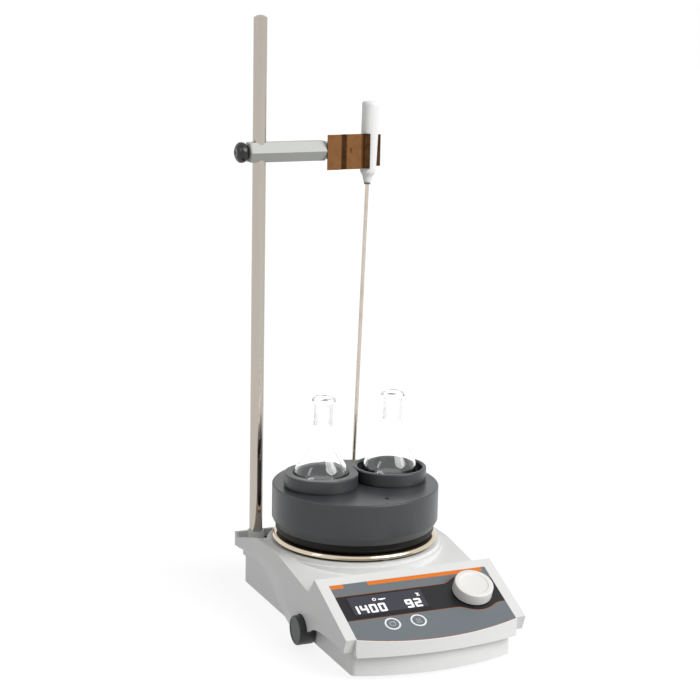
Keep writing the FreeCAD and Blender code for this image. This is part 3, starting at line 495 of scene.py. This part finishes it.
def rounded(profile, radii, steps=4):
    """A section whose corners are turned into arcs; radii names the corners by number."""
    points = []
    for i, corner in enumerate(profile):
        here = Vector(corner)
        if i not in radii:
            points.append(here)
            continue
        back = (Vector(profile[i - 1]) - here).normalized()
        ahead = (Vector(profile[i + 1]) - here).normalized()
        half = back.angle(ahead) / 2
        reach = radii[i] / math.tan(half)
        centre = here + (back + ahead).normalized() * radii[i] / math.sin(half)
        start = here + back * reach - centre
        sweep = start.angle_signed(here + ahead * reach - centre)
        points += [centre + Matrix.Rotation(-sweep * k / steps, 2) @ start for k in range(steps + 1)]
    return points


def turns(start, end, steps):
    return [math.radians(start + (end - start) * k / steps) for k in range(steps + 1)]


def arc(centre_r, centre_z, radius, start, end, steps):
    """Points of an arc in a section; angles in degrees from the outward direction."""
    return [(centre_r + radius * math.cos(a), centre_z + radius * math.sin(a)) for a in turns(start, end, steps)]


def lathe(name, profile, place=Matrix.Identity(4), steps=96):
    """Spins a section of (radius, height) points in millimetres about the vertical axis."""
    mesh = bpy.data.meshes.new(name)
    points = [(r * MM, 0, z * MM) for r, z in profile]
    mesh.from_pydata(points, [(i, i + 1) for i in range(len(points) - 1)], [])
    obj = bpy.data.objects.new(name, mesh)
    bpy.context.collection.objects.link(obj)
    only(obj)
    bpy.ops.object.mode_set(mode="EDIT")
    bpy.ops.mesh.select_all(action="SELECT")
    bpy.ops.mesh.spin(steps=steps, angle=math.tau, center=(0, 0, 0), axis=(0, 0, 1))
    bpy.ops.mesh.select_all(action="SELECT")
    bpy.ops.mesh.remove_doubles(threshold=1e-6)
    bpy.ops.mesh.normals_make_consistent(inside=False)
    bpy.ops.object.mode_set(mode="OBJECT")
    return settle(obj, place)


def moved(x, y, z):
    return Matrix.Translation(Vector((x, y, z)) * MM)


def along_x(x, y, z):
    """A place whose vertical is turned to point along X."""
    return moved(x, y, z) @ Matrix.Rotation(math.radians(90), 4, "Y")


def on_panel(x, s, off=0.0):
    return PANEL @ moved(x, -s, off)


def add_modifier(obj, kind, **settings):
    modifier = obj.modifiers.new(kind.lower(), kind)
    for key, value in settings.items():
        setattr(modifier, key, value)
    return modifier


def smoothed_copy(name, node, material, edge=0.0, smooth=35.0):
    """A copy of a frame node with its facets joined, its edges rounded and its shading smooth."""
    obj = bpy.data.objects.new(name, nodes[node].data.copy())
    bpy.context.collection.objects.link(obj)
    with editing(obj):
        bpy.ops.mesh.remove_doubles(threshold=2e-6)
        bpy.ops.mesh.dissolve_limited(angle_limit=math.radians(0.4))
    if "custom_normal" in obj.data.attributes:
        obj.data.attributes.remove(obj.data.attributes["custom_normal"])
    finish_piece(obj, material, node, smooth=smooth)
    if edge > 0:
        add_modifier(obj, "BEVEL", width=edge, segments=2, limit_method="ANGLE",
                     angle_limit=math.radians(38), harden_normals=True)
    return obj


def repaint(node, material):
    obj = nodes[node]
    obj.data.materials.clear()
    obj.data.materials.append(material)


# Operators

class PieceOperator:
    bl_options = {"REGISTER", "UNDO"}

    def execute(self, context):
        self.make()
        return {"FINISHED"}


class STIRRER_OT_housing(PieceOperator, bpy.types.Operator):
    """Makes the upper and the lower housing in light grey moulded plastic"""
    bl_idname = "stirrer.housing"
    bl_label = "Housing"

    def make(self):
        plastic = moulded("housing_plastic", colours().housing)
        smoothed_copy("housing_top", "upper_housing", plastic, sizes().edge)
        smoothed_copy("housing_skirt", "base_housing", plastic, sizes().edge)


class STIRRER_OT_panel(PieceOperator, bpy.types.Operator):
    """Makes the printed foil, the display window and the two foil buttons"""
    bl_idname = "stirrer.panel"
    bl_label = "Control panel"

    def make(self):
        smoothed_copy("panel_foil", "front_foil", printed_foil())
        smoothed_copy("display_pane", "display_window", window_pane())
        for name, x in BUTTONS.items():
            smoothed_copy("button_cap_" + name, "button_" + name, printed_cap("button_print_" + name, x))


def segment_strokes(x, s, width, height, lit):
    """Middle lines of the lit segments of a digit whose lower left corner is at x, s."""
    left, right = x, x + width
    low, mid, high = s, s - height / 2, s - height
    lines = {"a": (left, high, right, high), "b": (right, high, right, mid), "c": (right, mid, right, low),
             "d": (left, low, right, low), "e": (left, mid, left, low), "f": (left, high, left, mid),
             "g": (left, mid, right, mid)}
    return [lines[key] for key in lit]


SEGMENTS = {"0": "abcdef", "1": "bc", "2": "abged", "4": "fgbc", "9": "abcdfg"}


def stroke(name, x0, s0, x1, s1, thickness, off, height=0.05):
    """A flat bar with slanted ends between two places on the panel."""
    run = Vector((x1 - x0, s0 - s1))
    bpy.ops.mesh.primitive_cube_add(size=1)
    bar = bpy.context.object
    bar.name = name
    length_mm = run.length + thickness * 0.72
    bar.data.transform(Matrix.Diagonal((length_mm * MM, thickness * MM, height * MM, 1)))
    with editing(bar):
        bpy.ops.mesh.select_mode(type="EDGE")
        bpy.ops.mesh.select_all(action="DESELECT")
        mesh = bmesh.from_edit_mesh(bar.data)
        for edge in mesh.edges:
            edge.select_set(abs(edge.verts[0].co.z - edge.verts[1].co.z) > height * MM / 2)
        bmesh.update_edit_mesh(bar.data)
        bpy.ops.mesh.bevel(offset=thickness * 0.36 * MM, segments=3)
    turn = Matrix.Rotation(math.atan2(run.y, run.x), 4, "Z")
    middle = Vector(((x0 + x1) / 2, (s0 + s1) / 2))
    return settle(bar, on_panel(middle.x, middle.y, off + height / 2) @ turn)


def joined(name, parts):
    deselect()
    for part in parts:
        part.select_set(True)
    bpy.context.view_layer.objects.active = parts[0]
    bpy.ops.object.join()
    parts[0].name = name
    return parts[0]


def ring_mark(name, x, s, radius, width, off):
    """A thin ring on the panel."""
    mesh_profile = [(radius - width / 2, 0), (radius + width / 2, 0), (radius + width / 2, 0.05),
                    (radius - width / 2, 0.05), (radius - width / 2, 0)]
    return lathe(name, mesh_profile, on_panel(x, s, off), 32)


class STIRRER_OT_digits(PieceOperator, bpy.types.Operator):
    """Makes the lit digits of the display and the marks over them"""
    bl_idname = "stirrer.digits"
    bl_label = "Display digits"

    def make(self):
        paint = Paint("lit_segment", Specular_IOR_Level=0.2, Emission_Strength=0.25)
        cloud = paint.noise(paint.place(), 0.002)
        paint.feed("Base Color", paint.shade(colours().digit, cloud, 0.04))
        paint.feed("Emission Color", paint.shade(colours().digit, cloud, 0.04))
        paint.feed("Roughness", cloud * 0.1 + 0.4)
        parts = []
        for text, left, pitch, width, height, thickness in (("1400", -62.2, 8.05, 4.5, 7.8, 1.9),
                                                            ("92", -14.1, 7.9, 4.4, 7.9, 2.0)):
            for k, digit in enumerate(text):
                for place in segment_strokes(left + k * pitch, 44.65, width, height, SEGMENTS[digit]):
                    parts.append(stroke("segment", *place, thickness, 0.0))
        parts.append(ring_mark("speed_mark", -39.7, 30.9, 1.3, 0.8, 0.0))
        parts.append(stroke("speed_bar", -35.8, 31.4, -30.2, 31.4, 1.3, 0.0))
        parts.append(stroke("speed_drop", -34.6, 32.2, -32.6, 32.2, 0.7, 0.0))
        parts.append(stroke("heat_bar", -2.1, 30.0, 0.4, 30.4, 1.0, 0.0))
        parts.append(stroke("heat_stem", -1.6, 32.4, 0.4, 32.6, 1.2, 0.0))
        parts.append(stroke("heat_neck", -1.0, 32.4, -0.7, 30.2, 0.9, 0.0))
        finish_piece(joined("display_digits", parts), paint.material, body="housing")


class STIRRER_OT_button_marks(PieceOperator, bpy.types.Operator):
    """Makes the small marks on the two buttons: a turning arrow and a heat sign"""
    bl_idname = "stirrer.button_marks"
    bl_label = "Button marks"

    def make(self):
        mark = moulded("mark_white", (0.62, 0.64, 0.65), grain=0.0002)
        x = BUTTONS["speed"]
        turn = [ring_mark("turn_ring", x, BUTTON_S, 2.3, 0.35, 0.0)]
        turn.append(stroke("turn_tip", x + 1.2, BUTTON_S - 2.6, x + 2.6, BUTTON_S - 1.4, 0.4, 0.0))
        finish_piece(joined("button_mark_speed", turn), mark, body="speed_button")
        x = BUTTONS["heat"]
        waves = []
        for dx in (-1.5, 0.0, 1.5):
            waves.append(stroke("wave", x + dx - 0.3, BUTTON_S - 0.4, x + dx + 0.3, BUTTON_S - 2.2, 0.35, 0.0))
            waves.append(stroke("wave", x + dx + 0.3, BUTTON_S + 1.4, x + dx - 0.3, BUTTON_S - 0.4, 0.35, 0.0))
        waves.append(stroke("wave_base", x - 2.2, BUTTON_S + 2.3, x + 2.2, BUTTON_S + 2.3, 0.35, 0.0))
        finish_piece(joined("button_mark_heat", waves), mark, body="heat_button")


class STIRRER_OT_selector(PieceOperator, bpy.types.Operator):
    """Makes the off-white selector knob with its dished face"""
    bl_idname = "stirrer.selector"
    bl_label = "Selector knob"

    def make(self):
        r, low, high, dish = 16.75, 0.6, 10.0, 12.4
        outline = [(3.0, low), (6.0, low), (6.0, low + 2), (r - 2.2, low + 2), (r - 2.2, low), (r, low),
                   (r - 0.35, high), (dish, high), (dish - 0.9, high - 0.6), (0, high - 1.0)]
        profile = rounded(outline, {5: 0.25, 6: 0.9, 7: 0.2, 8: 0.5}, 5)
        knob = lathe("selector_cap", profile, on_panel(SELECTOR_X, SELECTOR_S), 128)
        finish_piece(knob, moulded("selector_plastic", colours().knob, 0.38), "selector_knob")


class STIRRER_OT_switch(PieceOperator, bpy.types.Operator):
    """Makes the dark mains switch knob on the left side"""
    bl_idname = "stirrer.switch"
    bl_label = "Mains switch knob"

    def make(self):
        low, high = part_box("switch_knob")
        centre = (low + high) / 2
        r = (high.z - low.z) / 2 / MM
        depth = (high.x - low.x) / MM
        outline = [(3.0, depth), (r, depth), (r, 0), (r - 2.2, 0), (r - 2.6, 0.35), (0, 0.35)]
        profile = rounded(outline, {1: 0.4, 2: 1.1, 3: 0.3}, 5)
        knob = lathe("switch_cap", profile, along_x(low.x / MM, centre.y / MM, centre.z / MM), 96)
        plastic = moulded("switch_plastic", colours().switch, 0.40, specular=0.4)
        finish_piece(knob, plastic, "switch_knob")


class STIRRER_OT_hot_plate(PieceOperator, bpy.types.Operator):
    """Makes the polished hot plate"""
    bl_idname = "stirrer.hot_plate"
    bl_label = "Hot plate"

    def make(self):
        low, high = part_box("hot_plate")
        r = high.x / MM
        z0, z1 = low.z / MM, high.z / MM
        profile = rounded([(0, z0), (r, z0), (r, z1), (0, z1)], {1: 0.8, 2: 2.9}, 9)
        plate = lathe("heated_plate", profile, steps=160)
        metal = turned("polished_plate", colours().plate, (0, 0), roughness=0.09, metallic=1.0, wear=0.02,
                       depth=0.000002)
        finish_piece(plate, metal, "hot_plate")


class STIRRER_OT_carrier(PieceOperator, bpy.types.Operator):
    """Makes the carrier block, its centring ring and the two well inserts"""
    bl_idname = "stirrer.carrier"
    bl_label = "Carrier and inserts"

    def make(self):
        coat = turned("coated_block", colours().block, (0, 0), roughness=0.33)
        smoothed_copy("carrier", "carrier_block", coat, sizes().fine_edge, 20)
        ring = moulded("ring_plastic", colours().centring, 0.5, specular=0.2)
        smoothed_copy("carrier_ring", "centring_ring", ring)
        for side in ("left", "right"):
            node = "well_insert_" + side
            low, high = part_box(node)
            axis = ((low.x + high.x) / 2, 0)
            coat = turned("coated_insert_" + side, colours().block, axis, roughness=0.33)
            smoothed_copy("insert_" + side, node, coat, sizes().fine_edge)


def flask_section(low, high):
    """The flask's section in millimetres: outside from the lowest point to the rim, then back inside."""
    ball_r, wall = 24.0, 1.4
    ball_z = low + ball_r
    neck, joint, bead = 9.85, 8.3, 10.3

    def side(inset):
        r = ball_r - inset
        ball = arc(0, ball_z, r, -90, 36, 40)
        top = Vector(ball[-1])
        end = Vector((neck - inset, ball_z + 38.0))
        turn = math.radians(36)
        slope = Vector((-math.sin(turn), math.cos(turn)))
        handles = [top, top + slope * 11.0, end - Vector((0, 9.0)), end]
        neck_curve = [bezier(handles, k / 14) for k in range(1, 15)]
        step = [(neck - inset, high - 27.5), (neck - inset - 0.25, high - 26.2), (joint - inset + 0.2, high - 24.6),
                (joint - inset, high - 23.6)]
        return ball + [tuple(p) for p in neck_curve] + step
    outer = side(0) + [(joint, high - 5.2), (joint + 0.5, high - 4.4)]
    rim = arc(bead - 1.9, high - 2.6, 1.9, -60, 60, 8) + [(joint + 0.2, high), (joint - 0.9, high)]
    inner = side(wall) + [(joint - wall, high - 3.0), (joint - wall + 0.2, high - 0.6)]
    return outer + rim + inner[::-1]


def bezier(points, t):
    a, b, c, d = points
    return a * (1 - t) ** 3 + b * 3 * t * (1 - t) ** 2 + c * 3 * t * t * (1 - t) + d * t ** 3


class STIRRER_OT_flasks(PieceOperator, bpy.types.Operator):
    """Makes the two round flasks with ground joints, and the stirring bars in them"""
    bl_idname = "stirrer.flasks"
    bl_label = "Flasks"

    def make(self):
        for side in ("left", "right"):
            node = "flask_" + side
            low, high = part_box(node)
            centre = Vector(((low.x + high.x) / 2, 0, low.z + 24.0 * MM))
            lean = sizes().flask_lean
            place = Matrix.Translation(centre) @ Matrix.Rotation(lean, 4, "Y")
            profile = flask_section(-24.0, (high.z - centre.z) / MM)
            flask = lathe("flask_glass_" + side, profile, place, 96)
            finish_piece(flask, clear_glass("flask_clear_" + side, centre, lean), node, smooth=50)
        white = moulded("bar_coating", (0.85, 0.85, 0.84), 0.25)
        for side in ("left", "right"):
            node = "stir_bar_" + side
            low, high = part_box(node)
            r = (high.z - low.z) / 2 / MM
            span = (high.x - low.x) / MM
            middle = span / 2
            outline = [(0, 0), (r, 0), (r, middle - 0.8), (r, middle), (r, middle + 0.8), (r, span), (0, span)]
            bar = lathe("bar_" + side, rounded(outline, {1: 1.4, 5: 1.4}, 5),
                        along_x(low.x / MM, (low.y + high.y) / 2 / MM, (low.z + high.z) / 2 / MM), 40)
            finish_piece(bar, white, node)


class STIRRER_OT_rod(PieceOperator, bpy.types.Operator):
    """Makes the support rod and its nut"""
    bl_idname = "stirrer.rod"
    bl_label = "Support rod"

    def make(self):
        low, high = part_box("support_rod")
        centre = (low + high) / 2
        r = (high.x - low.x) / 2 / MM
        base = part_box("rod_nut")[1].z / MM + 3.0
        stud = 2.5
        outline = [(0, low.z / MM), (stud, low.z / MM), (stud, base), (r, base), (r, high.z / MM - 2.0)]
        profile = outline + arc(0, high.z / MM - 8.45, 8.45, 48, 90, 8)
        rod = lathe("rod", profile, moved(centre.x / MM, centre.y / MM, 0), 64)
        steel = drawn_metal("rod_finish", colours().rod, 0.15, tint=(0.50, 0.43, 0.36))
        finish_piece(rod, steel, "support_rod")
        repaint("rod_nut", drawn_metal("zinc_nut", (0.6, 0.6, 0.6), 0.3))


class STIRRER_OT_clamp(PieceOperator, bpy.types.Operator):
    """Makes the clamp arm, its screw, pad and black knob"""
    bl_idname = "stirrer.clamp"
    bl_label = "Clamp arm"

    def make(self):
        paint = moulded("arm_paint", colours().arm, 0.36, grain=0.0006, depth=0.000008)
        finish_piece(self.bar(), paint, "clamp_arm", smooth=20)
        low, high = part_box("clamp_knob")
        centre = (low + high) / 2
        r = (high.z - low.z) / 2 / MM
        span = (high.x - low.x) / MM
        outline = [(0, 0.6), (1.3, 0.6), (2.2, 0), (r - 4.6, 0.2), (r - 2.0, 1.5), (r - 0.3, 3.4), (r, 5.4),
                   (r - 0.5, 7.6), (r - 1.6, span - 1.4), (r - 4.2, span), (3.5, span)]
        profile = rounded(outline, {k: 0.9 for k in range(3, 9)}, 3)
        knob = lathe("clamp_grip", profile, along_x(low.x / MM, centre.y / MM, centre.z / MM), 96)
        gloss = moulded("grip_plastic", (0.005, 0.005, 0.006), 0.22, grain=0.002, depth=0.000002, specular=0.5)
        finish_piece(knob, gloss, "clamp_knob", smooth=60)
        steel = drawn_metal("zinc_screw", (0.62, 0.62, 0.62), 0.28)
        repaint("clamp_screw", steel)
        repaint("pressure_pad", steel)

    def bar(self):
        """A hexagonal bar with an edge to the front, and the tongue that carries the clip."""
        low, high = (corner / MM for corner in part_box("clamp_arm"))
        rod_low, rod_high = (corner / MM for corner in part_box("support_rod"))
        rivet_low, rivet_high = (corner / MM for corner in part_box("clip_rivet"))
        y, z = (low.y + high.y) / 2, (low.z + high.z) / 2
        half = (high.z - low.z) / 2
        end = ARM_END
        bar = prism("arm_bar", 6, half / math.cos(math.radians(30)), (low.x, end), (0, y, z), "X")
        for place, offset in ((low.x, 1.6), (end, 0.3)):
            with editing(bar, lambda face: abs(face.calc_center_median().x - place * MM) < 1e-5):
                bpy.ops.mesh.bevel(offset=offset * MM, segments=2)
        bpy.ops.mesh.primitive_cube_add(size=1)
        tongue = bpy.context.object
        tongue.data.transform(moved((end - 1 + high.x) / 2, y, z) @ Matrix.Diagonal(
            ((high.x - end + 1) * MM, 0.014, 0.014, 1)))
        combine(bar, tongue, "UNION")
        middle = (rod_low + rod_high) / 2
        combine(bar, prism("rod_hole", 64, 6.05, (z - 20, z + 20), (middle.x, middle.y, 0), "Z"), "DIFFERENCE")
        combine(bar, prism("screw_hole", 32, 3.5, (low.x - 5, middle.x), (0, y, z), "X"), "DIFFERENCE")
        rivet = (rivet_low + rivet_high) / 2
        combine(bar, prism("rivet_hole", 24, 1.5, (y - 20, y + 20), (rivet.x, 0, z), "Y"), "DIFFERENCE")
        return bar


def prism(name, sides, radius, span, place, along):
    """A straight bar of so many sides along one axis, between two places on it."""
    bpy.ops.mesh.primitive_cylinder_add(vertices=sides, radius=radius * MM, depth=(span[1] - span[0]) * MM)
    obj = bpy.context.object
    obj.name = name
    turn = {"X": Matrix.Rotation(math.radians(90), 4, "Y"), "Y": Matrix.Rotation(math.radians(-90), 4, "X"),
            "Z": Matrix.Identity(4)}[along]
    middle = Vector(place)
    middle["XYZ".index(along)] = (span[0] + span[1]) / 2
    return settle(obj, moved(*middle) @ turn)


def combine(obj, other, operation):
    """Adds another object to this one, or takes it away."""
    modifier = add_modifier(obj, "BOOLEAN", operation=operation, object=other, solver="EXACT")
    only(obj)
    bpy.ops.object.modifier_apply(modifier=modifier.name)
    bpy.data.objects.remove(other, do_unlink=True)


class STIRRER_OT_clip(PieceOperator, bpy.types.Operator):
    """Makes the two bent leaves of the probe clip and their rivet"""
    bl_idname = "stirrer.clip"
    bl_label = "Probe clip"

    def make(self):
        metal = bronze()
        grip = 8.05
        front = [(ARM_END + 0.3, -8.6), (7.5, -8.6), (13.4, -7.0), (30.0, -7.0)]
        front += [(PROBE_X + grip * math.cos(a), -grip * math.sin(a)) for a in turns(146, 106, 8)]
        rear = [(13.4, 7.0), (30.0, 7.0)]
        rear += [(PROBE_X + grip * math.cos(a), grip * math.sin(a)) for a in turns(146, 48, 16)]
        rear.append((56.8, 9.05))
        finish_piece(self.leaf("clip_leaf_front", front, -1, 0.0), metal, "clip_front_leaf", smooth=25)
        finish_piece(self.leaf("clip_leaf_rear", rear, 1, 2.6), metal, "clip_rear_leaf", smooth=25)
        smoothed_copy("clip_pin", "clip_rivet", metal)

    def leaf(self, name, line, side, lower):
        """A strip of sheet that follows a line in plan, one millimetre thick on its outer side."""
        low, high = (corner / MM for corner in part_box("clip_front_leaf"))
        rod_low, rod_high = (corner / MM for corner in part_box("support_rod"))
        y = (rod_low.y + rod_high.y) / 2
        mesh = bpy.data.meshes.new(name)
        points = [Vector((a, y + b, low.z)) * MM for a, b in line]
        mesh.from_pydata(points, [(i, i + 1) for i in range(len(points) - 1)], [])
        obj = bpy.data.objects.new(name, mesh)
        bpy.context.collection.objects.link(obj)
        only(obj)
        bpy.ops.object.mode_set(mode="EDIT")
        bpy.ops.mesh.select_mode(type="EDGE")
        bpy.ops.mesh.select_all(action="SELECT")
        bpy.ops.mesh.extrude_region_move(TRANSFORM_OT_translate={"value": (0, 0, (high.z - low.z - lower) * MM)})
        bpy.ops.mesh.select_all(action="SELECT")
        bpy.ops.mesh.normals_make_consistent(inside=False)
        bpy.ops.object.mode_set(mode="OBJECT")
        outward = mesh.polygons[0].normal.y * side > 0
        add_modifier(obj, "SOLIDIFY", thickness=1.0 * MM, offset=1.0 if outward else -1.0, use_even_offset=True)
        only(obj)
        bpy.ops.object.modifier_apply(modifier="solidify")
        add_modifier(obj, "BEVEL", width=0.25 * MM, segments=2, limit_method="ANGLE",
                     angle_limit=math.radians(60), harden_normals=True)
        return obj


class STIRRER_OT_probe(PieceOperator, bpy.types.Operator):
    """Makes the temperature probe's handle, collar and stem"""
    bl_idname = "stirrer.probe"
    bl_label = "Temperature probe"

    def make(self):
        handle = moulded("handle_plastic", colours().handle, 0.3, depth=0.000006)
        grip = smoothed_copy("probe_grip", "probe_handle", handle)
        ring = smoothed_copy("probe_ring", "probe_collar", moulded("collar_plastic", (0.12, 0.12, 0.12), 0.4))
        stem = drawn_metal("stem_finish", (0.62, 0.56, 0.49), 0.2, tint=(0.45, 0.36, 0.27))
        tube = smoothed_copy("probe_tube", "probe_stem", stem)
        low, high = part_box("probe_stem")
        tip = Matrix.Translation((low.x + STEM_R * MM, (low.y + high.y) / 2, low.z))
        turn = tip @ Matrix.Rotation(math.radians(PROBE_TURN), 4, "Y") @ tip.inverted()
        for piece in (grip, ring, tube):
            piece.data.transform(turn)


class STIRRER_OT_rear(PieceOperator, bpy.types.Operator):
    """Makes the dark rear panel with the mains inlet and the sensor socket"""
    bl_idname = "stirrer.rear"
    bl_label = "Rear panel"

    def make(self):
        smoothed_copy("rear_plate", "rear_panel", rear_plastic())
        smoothed_copy("inlet", "power_inlet", moulded("inlet_plastic", (0.012, 0.012, 0.013), 0.3))
        smoothed_copy("sensor_plug_socket", "sensor_socket", moulded("socket_plastic", (0.03, 0.03, 0.032), 0.35))


class STIRRER_OT_underside(PieceOperator, bpy.types.Operator):
    """Makes the bottom cover, its screws and the rubber feet"""
    bl_idname = "stirrer.underside"
    bl_label = "Underside"

    def make(self):
        repaint("bottom_cover", drawn_metal("cover_sheet", (0.55, 0.55, 0.56), 0.42, stretch=(1, 0.03, 1)))
        repaint("housing_screws", drawn_metal("zinc_screws", (0.6, 0.6, 0.58), 0.3))
        repaint("rubber_feet", moulded("foot_rubber", (0.02, 0.02, 0.02), 0.75, grain=0.0008, depth=0.00003))


class STIRRER_OT_inner(PieceOperator, bpy.types.Operator):
    """Finishes the pieces inside the housing"""
    bl_idname = "stirrer.inner"
    bl_label = "Inner pieces"

    def make(self):
        zinc = drawn_metal("zinc_sheet", (0.6, 0.6, 0.61), 0.35)
        dark = moulded("dark_case", (0.04, 0.04, 0.045), 0.5)
        green = circuit()
        cast = turned("cast_heater", (0.42, 0.42, 0.41), (0, 0), roughness=0.5, metallic=0.9)
        bright = drawn_metal("nickel", (0.66, 0.65, 0.62), 0.18)
        board = moulded("mineral_board", (0.60, 0.53, 0.40), 0.85, grain=0.0012, depth=0.00005)
        shaft = drawn_metal("ground_shaft", (0.6, 0.6, 0.6), 0.2)
        finishes = {"board_screws": zinc, "encoder_body": zinc, "encoder_plunger": zinc, "plate_standoffs": zinc,
                    "motor_bracket": zinc, "motor": zinc, "key_switches": dark, "switch_body": dark,
                    "display_module": dark, "control_board": green, "power_board": green, "heating_element": cast,
                    "drive_rotor": cast, "drive_magnets": bright, "insulation_disc": board,
                    "encoder_shaft": shaft, "switch_shaft": shaft}
        for node, material in finishes.items():
            repaint(node, material)


# Stage

CAMERA_AT = Vector((-0.65177831, -1.46543307, 0.58377862))
CAMERA_YAW = 23.7277524
CAMERA_PITCH = 12.3632207
CAMERA_ROLL = -1.1399866
# Light from the floor and the world that falls on the object, and what the floor adds to be seen white
FLOOR_GLOW = 0.22
FLOOR_SEEN = 0.62
WORLD_LIGHT = 0.34


def camera_matrix():
    yaw, pitch, roll = (math.radians(a) for a in (CAMERA_YAW, CAMERA_PITCH, CAMERA_ROLL))
    ahead = Vector((math.sin(yaw) * math.cos(pitch), math.cos(yaw) * math.cos(pitch), -math.sin(pitch)))
    right = Vector((math.cos(yaw), -math.sin(yaw), 0))
    down = ahead.cross(right)
    across = right * math.cos(roll) + down * math.sin(roll)
    below = down * math.cos(roll) - right * math.sin(roll)
    matrix = Matrix((across, -below, -ahead)).transposed().to_4x4()
    matrix.translation = CAMERA_AT
    return matrix


def soft_lamp(name, place, target, size, watts):
    lamp = bpy.data.lights.new(name, "AREA")
    lamp.shape = "RECTANGLE"
    lamp.size, lamp.size_y = size
    lamp.energy = watts
    obj = bpy.data.objects.new(name, lamp)
    bpy.context.collection.objects.link(obj)
    obj.location = place
    obj.rotation_euler = (Vector(target) - Vector(place)).to_track_quat("-Z", "Y").to_euler()
    return obj


class STIRRER_OT_stage(PieceOperator, bpy.types.Operator):
    """Makes the pale floor, the soft light and the camera at the photograph's angle"""
    bl_idname = "stirrer.stage"
    bl_label = "Stage"

    def make(self):
        self.camera()
        self.floor()
        self.world()
        sun = bpy.data.lights.new("key", "SUN")
        sun.energy = 2.3
        sun.angle = math.radians(45)
        key = bpy.data.objects.new("key", sun)
        bpy.context.collection.objects.link(key)
        key.rotation_euler = Vector((-1.0, 1.57, -1.41)).to_track_quat("-Z", "Y").to_euler()
        soft_lamp("box_right", (1.3, -1.1, 1.2), (0, 0, 0.15), (0.7, 0.9), 5)
        soft_lamp("box_left", (-1.6, -0.3, 1.0), (0, 0, 0.15), (0.25, 1.0), 2.5)

    def camera(self):
        data = bpy.data.cameras.new("camera")
        data.lens = sizes().camera_lens
        data.sensor_width = 36
        data.clip_end = 20
        camera = bpy.data.objects.new("camera", data)
        bpy.context.collection.objects.link(camera)
        camera.matrix_world = camera_matrix()
        bpy.context.scene.camera = camera
        bpy.context.scene.view_settings.view_transform = "Standard"

    def floor(self):
        deselect()
        bpy.ops.mesh.primitive_plane_add(size=12, location=(0, 0, -0.0004))
        floor = bpy.context.object
        floor.name = "floor"
        paint = Paint("floor_white", Roughness=0.9, Specular_IOR_Level=0.1, Emission_Strength=0.0)
        paint.shader.inputs["Base Color"].default_value = (0.24, 0.24, 0.24, 1)
        paint.shader.inputs["Emission Color"].default_value = (1, 1, 1, 1)
        rays = paint.node("ShaderNodeLightPath")
        seen = rays + rays.out("Is Glossy Ray") + rays.out("Is Transmission Ray")
        paint.feed("Emission Strength", seen * FLOOR_SEEN + FLOOR_GLOW)
        floor.data.materials.append(paint.material)

    def world(self):
        world = bpy.data.worlds.new("studio")
        bpy.context.scene.world = world
        world.use_nodes = True
        tree = world.node_tree
        background = tree.nodes["Background"]
        background.inputs["Color"].default_value = (1, 1, 1, 1)
        graph = Graph(tree)
        rays = graph.node("ShaderNodeLightPath")
        seen = rays + rays.out("Is Glossy Ray") + rays.out("Is Transmission Ray")
        strength = seen + (1 - seen) * WORLD_LIGHT
        tree.links.new(strength.socket, background.inputs["Strength"])


class STIRRER_PT_panel(bpy.types.Panel):
    bl_label = "Stirrer"
    bl_idname = "STIRRER_PT_panel"
    bl_space_type = "VIEW_3D"
    bl_region_type = "UI"
    bl_category = "Stirrer"

    def draw(self, context):
        for operator in OPERATORS:
            self.layout.operator(operator.bl_idname)
        for group in (context.scene.stirrer_colours, context.scene.stirrer_sizes):
            for name in group.bl_rna.properties.keys():
                if name not in ("rna_type", "name"):
                    self.layout.prop(group, name)


OPERATORS = (STIRRER_OT_stage, STIRRER_OT_housing, STIRRER_OT_panel, STIRRER_OT_digits, STIRRER_OT_button_marks,
             STIRRER_OT_selector, STIRRER_OT_switch, STIRRER_OT_hot_plate, STIRRER_OT_carrier, STIRRER_OT_flasks,
             STIRRER_OT_rod, STIRRER_OT_clamp, STIRRER_OT_clip, STIRRER_OT_probe, STIRRER_OT_rear,
             STIRRER_OT_underside, STIRRER_OT_inner)
CLASSES = (StirrerColours, StirrerSizes) + OPERATORS + (STIRRER_PT_panel,)


def register():
    for cls in CLASSES:
        bpy.utils.register_class(cls)
    bpy.types.Scene.stirrer_colours = bpy.props.PointerProperty(type=StirrerColours)
    bpy.types.Scene.stirrer_sizes = bpy.props.PointerProperty(type=StirrerSizes)


def unregister():
    del bpy.types.Scene.stirrer_colours
    del bpy.types.Scene.stirrer_sizes
    for cls in reversed(CLASSES):
        bpy.utils.unregister_class(cls)


def main():
    register()
    for operator in OPERATORS:
        group, name = operator.bl_idname.split(".")
        getattr(getattr(bpy.ops, group), name)()


if __name__ == "__main__":
    main()
